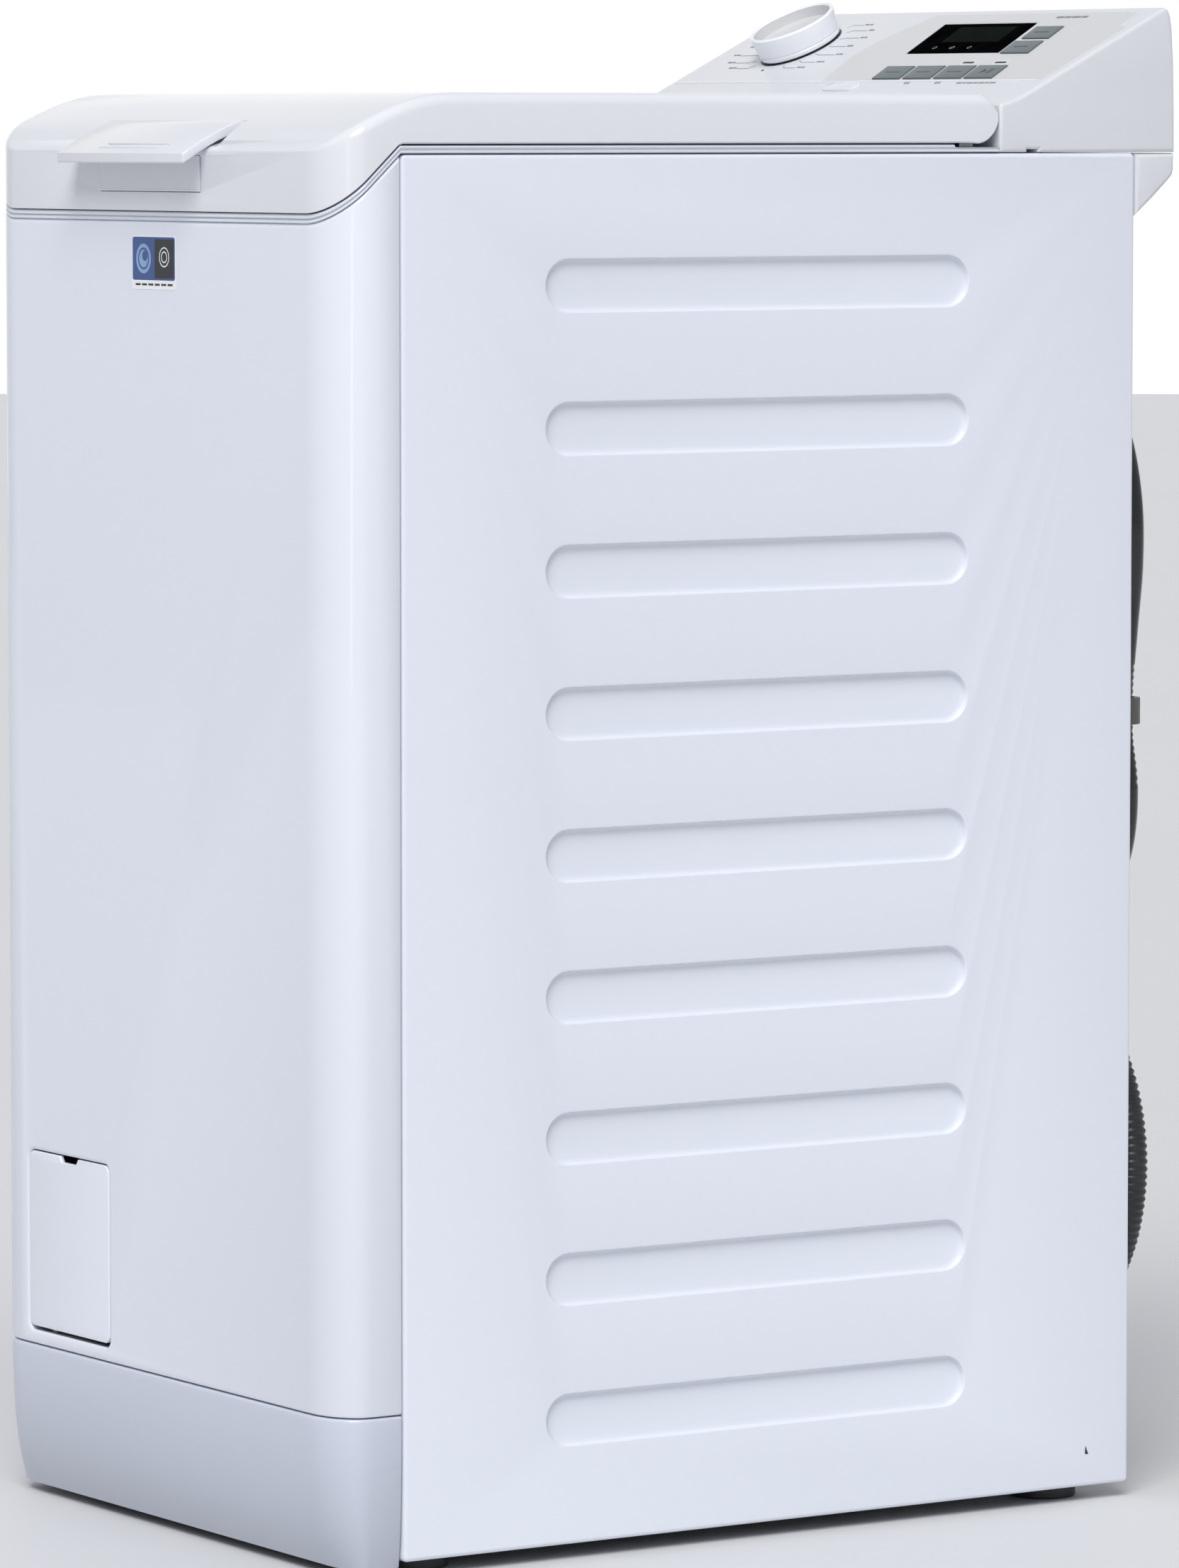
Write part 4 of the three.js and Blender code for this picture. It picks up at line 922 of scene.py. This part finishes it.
def face_print():
    """The grey field, the marks round the dial and the small printed signs."""
    field = Shape()
    edge = [(-35, 8), (-39, 20), (-43.6, 32), (-46.6, 42), (-46, 56), (-42, 70), (-36.4, 82), (-30, 94), (-27,
        98)]
    outline = [(192, 8), (192, 98)] + edge[::-1]
    holes = [leaning(*KEYS[name], 0.85) for name in KEYS] + [leaning(*DISPLAY, 0.8)]
    top = field.ring([on_face(u, v, 0.12) for u, v in outline])
    low = field.ring([on_face(u, v, -0.05) for u, v in outline])
    field.bridge(low, top)
    field.plate(top, [field.ring([on_face(u, v, 0.12) for u, v in rim]) for rim in holes])
    field.build("console_field", "field", "cabinet", "white_plastic")
    ink = Shape()
    for side in (1, -1):
        for k in range(7):
            a = math.radians(58 - 19.5 * k)
            u, v = DIAL[0] + side * 31 * math.cos(a), DIAL[1] + 31 * math.sin(a)
            w, t = DIAL[0] + side * (35 + 0.5 * k) * math.cos(a), DIAL[1] + 35 * math.sin(a)
            slab(ink, [(u, v - 0.25), (w, t - 0.25), (w, t + 0.25), (u, v + 0.25)][::side], -0.2, 0.14,
                on_face, r_high=0)
            run = 11 + (k * 5) % 7
            slab(ink, leaning(w + side * run / 2, t, run, 0.5), -0.2, 0.14, on_face, r_high=0)
            lengths = ((4.6, 2.8), (5.4,), (3.2, 2.6), (6.2,), (2.4, 3.4), (4.8, 2), (3.8, 3))[k]
            far = w + side * (run + 1.2)
            dashes(ink, far if side > 0 else far - sum(lengths) - 1, t + 0.8, lengths, 1.7, 0.14)
    dashes(ink, 104, 92, (8, 5.4, 9.2, 6), 2.4, 0.2)
    for x in (60.2, 92):
        dashes(ink, x - 3, 3.6, (2.4, 1.8), 2.2, 0.14)
    dashes(ink, 112, 3.2, (5, 3, 6.4, 4, 5.6, 3.6, 6), 1.4, 0.14)
    ink.build("console_marks", "ink", "cabinet", "white_plastic")
    lamps = Shape()
    for x, s in ((90, 30.6), (123, 30.4)):
        slab(lamps, leaning(x, s, 13, 4.4), -0.2, 0.2, on_face, r_high=0)
    lamps.build("lamp_frames", "white_ink", "cabinet", "white_plastic")
    bars = Shape()
    for x, s in ((90, 30.6), (123, 30.4)):
        slab(bars, leaning(x, s, 11.4, 2.6), -0.2, 0.26, on_face, r_high=0)
    slab(bars, circle(-120.4, 23, 1.1, 16), -0.2, 0.2, on_face, r_high=0)
    bars.build("lamp_bars", "black_ink", "cabinet", "black_plastic")
    # a raised strip along the step in the face, in the whiter dial plastic as a painted highlight
    ridge = Shape()
    slab(ridge, [(-196, 5.4), (186, 5.4), (190, 6.1), (186, 6.8), (-196, 6.8)], -0.3, 0.6, on_face,
        r_high=0.4)
    ridge.build("console_ridge_highlight", "dial", "cabinet", "white_plastic")


def rear_cover():
    y0, y1, z0, z1 = span("console_rear_cover")[2:]
    outline = [(y0, z0), (y1 - 15, z0 + 11.6), (y1 - 4, z0 + 21.4), (y1 - 1, z0 + 24.6), (y1, z0 + 28), (y1,
        z1 - 0.2),
               (y0, z1 - 0.2)]
    shape = Shape()
    slab(shape, outline, -HALF_W, HALF_W, along_x, 3.6, 3.6, 5)
    shape.build("rear_cover", "face", "cabinet", "white_plastic", ("console_rear_cover",), 30)


def label():
    """A small sticker with two plain signs."""
    x0, x1, z0, z1 = -27.5, 22.6, 726, 757
    sheet = Shape()
    slab(sheet, rounded(x0, x1, z0, z1, 2.2), 0.0, 0.16, facing_front, r_high=0)
    sheet.build("label_sheet", "white_ink", "cabinet", "white_plastic")
    blue, black, pale = Shape(), Shape(), Shape()
    mid = (x0 + x1) / 2
    slab(blue, rounded(x0 + 0.7, x1 - 0.7, z0 + 5.4, z1 - 0.7, 1.6), 0.1, 0.2, facing_front, r_high=0)
    slab(black, rounded(mid + 1.2, x1 - 2, z0 + 6.6, z1 - 2, 0.8), 0.15, 0.24, facing_front, r_high=0)
    u, v = (x0 + 1 + mid) / 2 + 0.4, (z0 + 6.6 + z1 - 2) / 2
    for r, off in ((8.6, 0), (5.2, 1.6)):
        pale.tower([[facing_front(a, b, 0.24) for a, b in circle(u + off * k, v + off * k, q, 32)]
                    for k, q in enumerate((r, r - 2.2))])
    cx = (mid + 1.2 + x1 - 2) / 2
    signs = Shape()
    for r in (5.8, 3.4):
        signs.tower([[facing_front(a, b, 0.27) for a, b in circle(cx, v + 1, q, 28)] for q in (r, r - 0.7)])
    for i in range(6):
        a = x0 + 4 + i * 7.4
        slab(black, [(a, z0 + 2.3), (a + 5.8, z0 + 2.3), (a + 5.8, z0 + 3.5), (a, z0 + 3.5)], 0.1, 0.2,
             facing_front, r_high=0)
    blue.build("label_blue", "blue_ink", "cabinet", "white_plastic")
    black.build("label_black", "black_ink", "cabinet", "black_plastic")
    pale.build("label_rings", "sky_ink", "cabinet", "white_plastic")
    signs.build("label_signs", "white_ink", "cabinet", "white_plastic")


# ---- hoses ----
def smooth_route(points, step):
    """Evenly spaced points along a centripetal Catmull-Rom curve through the points."""
    knots = [Vector(p) for p in points]
    ends = [2 * knots[0] - knots[1], *knots, 2 * knots[-1] - knots[-2]]
    fine = []
    for p0, p1, p2, p3 in zip(ends, ends[1:], ends[2:], ends[3:]):
        t = [0.0]
        for a, b in ((p0, p1), (p1, p2), (p2, p3)):
            t.append(t[-1] + math.sqrt((b - a).length))
        for i in range(30):
            at = t[1] + (t[2] - t[1]) * i / 30
            row = [p0, p1, p2, p3]
            for level in (1, 2, 3):
                row = [row[k].lerp(row[k + 1], (at - t[lo]) / (t[hi] - t[lo]))
                       for k, (lo, hi) in enumerate({1: ((0, 1), (1, 2), (2, 3)), 2: ((0, 2), (1, 3)), 3: ((1,
                           2),)}[level])]
            fine.append(row[0])
    fine.append(knots[-1])
    reach = [0.0]
    for a, b in zip(fine, fine[1:]):
        reach.append(reach[-1] + (b - a).length)
    count = max(2, round(reach[-1] / step))
    line, k = [], 0
    for i in range(count + 1):
        at = reach[-1] * i / count
        while k < len(fine) - 2 and reach[k + 1] < at:
            k += 1
        line.append(fine[k].lerp(fine[k + 1], (at - reach[k]) / (reach[k + 1] - reach[k])))
    return line, reach[-1]


def tube(shape, line, radius_at, sides, ref=(0, 1, 0)):
    """Sweeps a round section along a line; radius_at(index, point) gives its radius."""
    ref = Vector(ref)
    rings = []
    for i, p in enumerate(line):
        tangent = (line[min(i + 1, len(line) - 1)] - line[max(i - 1, 0)]).normalized()
        across = tangent.cross(ref).normalized()
        up = across.cross(tangent)
        r = radius_at(i, p)
        rings.append([p + across * u + up * v for u, v in circle(0, 0, r, sides)])
    made = shape.tower(rings)
    shape.plate(made[0][::-1])
    shape.plate(made[-1])


DRAIN_START = (-105, 82)
DRAIN_END = (-28, 283)
DRAIN_ARC = {"x": 70, "z": 202, "r": 120, "pitch": 26}
INLET_ROUTE = [(120, 749), (121, 720), (133, 690), (153, 660), (170, 630), (179, 596), (180, 560), (175, 520),
               (171, 486), (171, 456), (176, 426), (171, 388), (148, 352), (112, 331), (70, 331), (34, 352),
               (10, 388), (0, 426), (0, 490), (0, 570), (0, 654), (-12, 696), (-40, 729), (-80, 746), (-118,
                   740),
               (-152, 714), (-172, 680), (-180, 640), (-180, 560), (-180, 470), (-180, 380), (-180, 292)]


def drain_route():
    points = [DRAIN_START]
    for i in range(3):
        centre = -DRAIN_ARC["x"] if i % 2 else DRAIN_ARC["x"]
        for k in range(9):
            turn = (i + k / 8) / 2
            r = DRAIN_ARC["r"] - DRAIN_ARC["pitch"] * turn
            a = (turn - 0.25) * 2 * math.pi
            points.append((centre + r * math.cos(a), DRAIN_ARC["z"] + r * math.sin(a)))
    return points + [DRAIN_END]


def in_hose_plane(points):
    return [(x, HOSE_Y, z) for x, z in points]


def hoses():
    line, length = smooth_route(in_hose_plane(drain_route()), 1.1)
    shape = Shape()
    grooves = (10.5, 10.0, 9.2, 10.0)
    tube(shape, line, lambda i, p: 10.2 if i < 24 or i > len(line) - 24 else grooves[i % 4], 20)
    drain = shape.build("drain_hose_ribbed", "hose", "cabinet", "black_rubber", ("drain_hose",), 70)
    cuff = Shape()
    lathe(cuff, [(0.3, 10.6), (0.3, 12.1), (0.8, 12.5), (9, 12.5), (9.6, 12.1), (11, 12.1), (11.6, 12.5), (30,
        12.5),
                 (31, 12), (41.6, 11.8), (42, 11.4), (42, 9.4), (34, 9.2), (30, 0.01)],
          lambda u, v, w: (DRAIN_END[0] - w, HOSE_Y + u, DRAIN_END[1] + v), 32)
    end = cuff.build("drain_cuff", "rubber", "cabinet", "black_rubber", ("drain_hose_cuff",), 34)
    line, length = smooth_route(in_hose_plane(INLET_ROUTE), 2.2)
    shape = Shape()

    def bore(i, p):
        ribbed = p.x > 150 and 424 < p.z < 499
        return 7.35 if ribbed and i % 2 else 8.0
    tube(shape, line, bore, 20)
    inlet = shape.build("inlet_hose_smooth", "smooth_hose", "cabinet", "black_rubber", ("inlet_hose",), 50)
    nut = Shape()
    x, z = INLET_ROUTE[-1]

    def hang(u, v, w):
        return (x + u, HOSE_Y + v, z - w)
    grip = []
    for i in range(48):
        a, r = 2 * math.pi * i / 48, 13 if i % 4 < 2 else 12.2
        grip.append((r * math.cos(a), r * math.sin(a)))
    slab(nut, grip, 0.3, 18.2, hang, 0.9, 0.9)
    lathe(nut, [(18, 11.6), (18.26, 11.4), (18.26, 9.8), (12, 9.6)], hang, 32)
    end = nut.build("inlet_nut", "tub", "cabinet", "tub_plastic", ("inlet_hose_nut",), 30)


# ---- inside ----
def drum_latch():
    """The latch that locks the two drum flaps together, and the ribbed edge beside it."""
    shape = Shape()
    r = DRUM_R - 0.4

    def over(u, v, w):
        a = v / r
        return (u, AXIS.y + (r + w) * math.sin(a), AXIS.z + (r + w) * math.cos(a))
    slab(shape, rounded(-34, 34, -22, -3, 5), -1, 1.6, over, r_high=1.0)
    slab(shape, rounded(-22, 22, -18, -9, 4), 1.4, 2.4, over, r_high=0.6)
    shape.build("drum_latch", "tub", "drum_flap_front", "tub_plastic", crease=34)
    hooks = Shape()
    for x in (-84, -52, 52, 84):
        slab(hooks, rounded(x - 7, x + 7, -16, -2, 2.4), -1, 1.1, over, r_high=0.7)
    hooks.build("drum_flap_hooks", "steel", "drum_flap_front", "stainless", crease=34)


def bellows():
    """The folded rubber sleeve between the deck and the tub's neck."""
    x0, x1, y0, y1, z0, z1 = span("door_gasket")
    folds = 12
    profile = [(4.6, z1 - 0.1), (0.3, z1 - 0.1)]
    profile += [(0.3 if k % 2 == 0 else 4.2,
        z1 - 1.4 - (z1 - z0 - 2.8) * k / folds) for k in range(folds + 1)]
    profile += [(0.3, z0 + 0.1), (4.8, z0 + 0.1)]
    back = [(min(4.9, d + 1.4), z) for d, z in reversed(profile[2:-2])]
    rings = [[(u, v, z) for u, v in rounded(x0 + d, x1 - d, y0 + d, y1 - d, 13 - d, 8)] for d,
        z in profile + back]
    shape = Shape()
    made = shape.tower(rings)
    shape.bridge(made[-1], made[0])
    obj = shape.build("bellows", "gasket", None, "grey_rubber", ("door_gasket",), 60)
    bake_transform(obj)


def sump_sleeve():
    """The folded hose between the tub's outlet and the drain pump."""
    x0, x1, y0, y1, z0, z1 = span("sump_hose")
    outer, folds = (x1 - x0) / 2, 9
    profile = [(z0 + 0.1, outer - 3), (z0 + 0.1, outer - 0.1)]
    profile += [(z0 + 1.2 + (z1 - z0 - 2.4) * k / (2 * folds),
        outer - (0.1 if k % 2 == 0 else 2)) for k in range(2 * folds + 1)]
    profile += [(z1 - 0.1, outer - 0.1), (z1 - 0.1, outer - 3)]
    shape = Shape()
    lathe(shape, profile, lambda u, v, w: ((x0 + x1) / 2 + u, (y0 + y1) / 2 + v, w), 32, closed=True)
    obj = shape.build("sump_sleeve", "gasket", None, "black_rubber", ("sump_hose",), 60)
    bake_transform(obj)


def springs():
    for side in ("left", "right"):
        x0, x1, _, _, z0, z1 = span(f"tub_spring_{side}")
        mid, turns = (x0 + x1) / 2, 17
        line = []
        for i in range(turns * 16 + 1):
            a = 2 * math.pi * i / 16
            line.append(Vector((mid + 7.6 * math.cos(a), AXIS.y + 7.6 * math.sin(a),
                                z1 - 1.5 - (z1 - z0 - 3) * i / (turns * 16))))
        shape = Shape()
        tube(shape, line, lambda i, p: 1.35, 8, ref=(0, 0, 1))
        obj = shape.build(f"coil_spring_{side}", "zinc", None, "galvanised", (f"tub_spring_{side}",), 60)
        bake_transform(obj)


def softener_cap():
    """The blue lids in the middle and right bays of the dispenser."""
    shape = Shape()
    for x0, x1 in ((-16, 16), (62, 92)):
        slab(shape, rounded(x0, x1, -168, -138, 5), 760, 790, along_z, r_high=2.2)
        slab(shape, stadium((x0 + x1) / 2, -153, 6, 3), 789, 794, along_z, r_high=1.2)
    shape.build("dispenser_lids", "sky_ink", "cabinet", "white_plastic", crease=34)


MOULDED = [
    # node, material, body, slot, edge rounding
    ("base_tray", "tub", "cabinet", "tub_plastic", 1.0),
    ("dispenser_tray", "white", "cabinet", "white_plastic", 0.9),
    ("control_board", "board", "cabinet", "circuit_board", 0.3),
    ("lid_inner", "face", "lid", "white_plastic", 1.0),
    ("lid_hinge_left", "zinc", "cabinet", "galvanised", 0.6),
    ("lid_hinge_right", "zinc", "cabinet", "galvanised", 0.6),
    ("lid_lock", "dark", "cabinet", "black_plastic", 0.8),
    ("tub_shell", "tub", "tub", "tub_plastic", 1.2),
    ("tub_side_left", "tub", "tub", "tub_plastic", 1.0),
    ("tub_side_right", "tub", "tub", "tub_plastic", 1.0),
    ("counterweight", "concrete", "tub", "concrete", 2.0),
    ("motor", "zinc", "tub", "galvanised", 1.0),
    ("motor_pulley", "steel", "motor_pulley", "galvanised", 0.6),
    ("drive_belt", "rubber", "tub", "black_rubber", 0.4),
    ("drum_shell", "drum", "drum", "stainless", 0.5),
    ("drum_flap_front", "drum", "drum_flap_front", "stainless", 0.4),
    ("drum_flap_rear", "drum", "drum_flap_rear", "stainless", 0.4),
    ("drum_pulley", "tub", "drum", "galvanised", 0.8),
    ("damper_tube_left", "dark", "cabinet", "black_plastic", 0.8),
    ("damper_tube_right", "dark", "cabinet", "black_plastic", 0.8),
    ("damper_rod_left", "zinc", "tub", "galvanised", 0.6),
    ("damper_rod_right", "zinc", "tub", "galvanised", 0.6),
    ("drain_pump", "dark", "cabinet", "black_plastic", 1.0),
    ("filter_knob", "tub", "filter_knob", "tub_plastic", 0.9),
    ("inlet_valve", "white", "cabinet", "white_plastic", 0.9),
    ("cable_gland", "dark", "cabinet", "black_plastic", 0.6),
    ("drain_outlet", "dark", "cabinet", "black_plastic", 0.8),
    ("hose_clip", "clip", "cabinet", "tub_plastic", 0.7),
    ("foot_front_left", "dark", "foot_front_left", "black_plastic", 1.0),
    ("foot_front_right", "dark", "foot_front_right", "black_plastic", 1.0),
    ("foot_rear_left", "dark", "foot_rear_left", "black_plastic", 1.0),
    ("foot_rear_right", "dark", "foot_rear_right", "black_plastic", 1.0),
]


# ---- floor and light ----
def make_stage():
    floor = Shape()
    ring = floor.ring([(x, y, 0) for x, y in circle(0, 0, 20000, 64)])
    floor.plate(ring)
    mesh = bpy.data.meshes.new("floor")
    mesh.from_pydata([Vector(p) * MM for p in floor.points], [], floor.faces)
    mesh.materials.append(mottled("pale_floor", (0.66, 0.665, 0.68), 0.6, 200, 0.02, 1, 0.01))
    obj = bpy.data.objects.new("floor", mesh)
    bpy.context.scene.collection.objects.link(obj)


def area_light(name, place, target, size, power, color):
    data = bpy.data.lights.new(name, "AREA")
    data.shape = "RECTANGLE"
    data.size, data.size_y = size
    data.energy = power
    data.color = color
    light = bpy.data.objects.new(name, data)
    light.location = place
    light.rotation_euler = (Vector(target) - Vector(place)).to_track_quat("-Z", "Y").to_euler()
    bpy.context.scene.collection.objects.link(light)


ROOM = (0.43, 0.445, 0.48)      # the room's grey away from the bright wall behind the machine


def make_light():
    """A pale room that is brightest behind the machine, a wide lamp above and a tall strip in front."""
    world = bpy.data.worlds.new("studio")
    world.use_nodes = True
    tree = world.node_tree
    sky = tree.nodes["Background"]
    place = tree.nodes.new("ShaderNodeTexCoord")
    toward = tree.nodes.new("ShaderNodeVectorMath")
    toward.operation = "DOT_PRODUCT"
    tree.links.new(place.outputs["Generated"], toward.inputs[0])
    toward.inputs[1].default_value = (-0.836, 0.543, -0.08)
    ramp = tree.nodes.new("ShaderNodeValToRGB")
    tree.links.new(toward.outputs["Value"], ramp.inputs[0])
    first, last = ramp.color_ramp.elements
    first.position, first.color = 0.0, (*ROOM, 1)
    last.position, last.color = 0.96, (1.0, 1.0, 1.0, 1)
    middle = ramp.color_ramp.elements.new(0.75)
    middle.color = (*ROOM, 1)
    tree.links.new(ramp.outputs[0], sky.inputs["Color"])
    sky.inputs["Strength"].default_value = 1.0
    bpy.context.scene.world = world
    area_light("strip_corner", (2.6, -3.4, 1.6), (0.1, -0.2, 0.5), (0.4, 2.6), 5, (0.97, 0.98, 1.0))
    data = bpy.data.lights.new("softbox_above", "SUN")
    data.energy = 2.3
    data.angle = math.radians(34)
    data.color = (1.0, 0.995, 0.975)
    lamp = bpy.data.objects.new("softbox_above", data)
    lamp.rotation_euler = Vector((0.50, -0.43, 0.78)).to_track_quat("Z", "Y").to_euler()
    bpy.context.scene.collection.objects.link(lamp)
    bpy.context.scene.view_settings.view_transform = "Standard"


make_camera()
make_stage()
make_light()
hoses()
for side in (1, -1):
    side_panel(side)
front_panel()
filter_door()
plinth()
back_panel()
deck()
lid()
lid_handle()
console()
power_pill()
dial()
keys_and_display()
face_print()
rear_cover()
label()
drum_latch()
bellows()
springs()
sump_sleeve()
softener_cap()
for row in MOULDED:
    refine(*row)
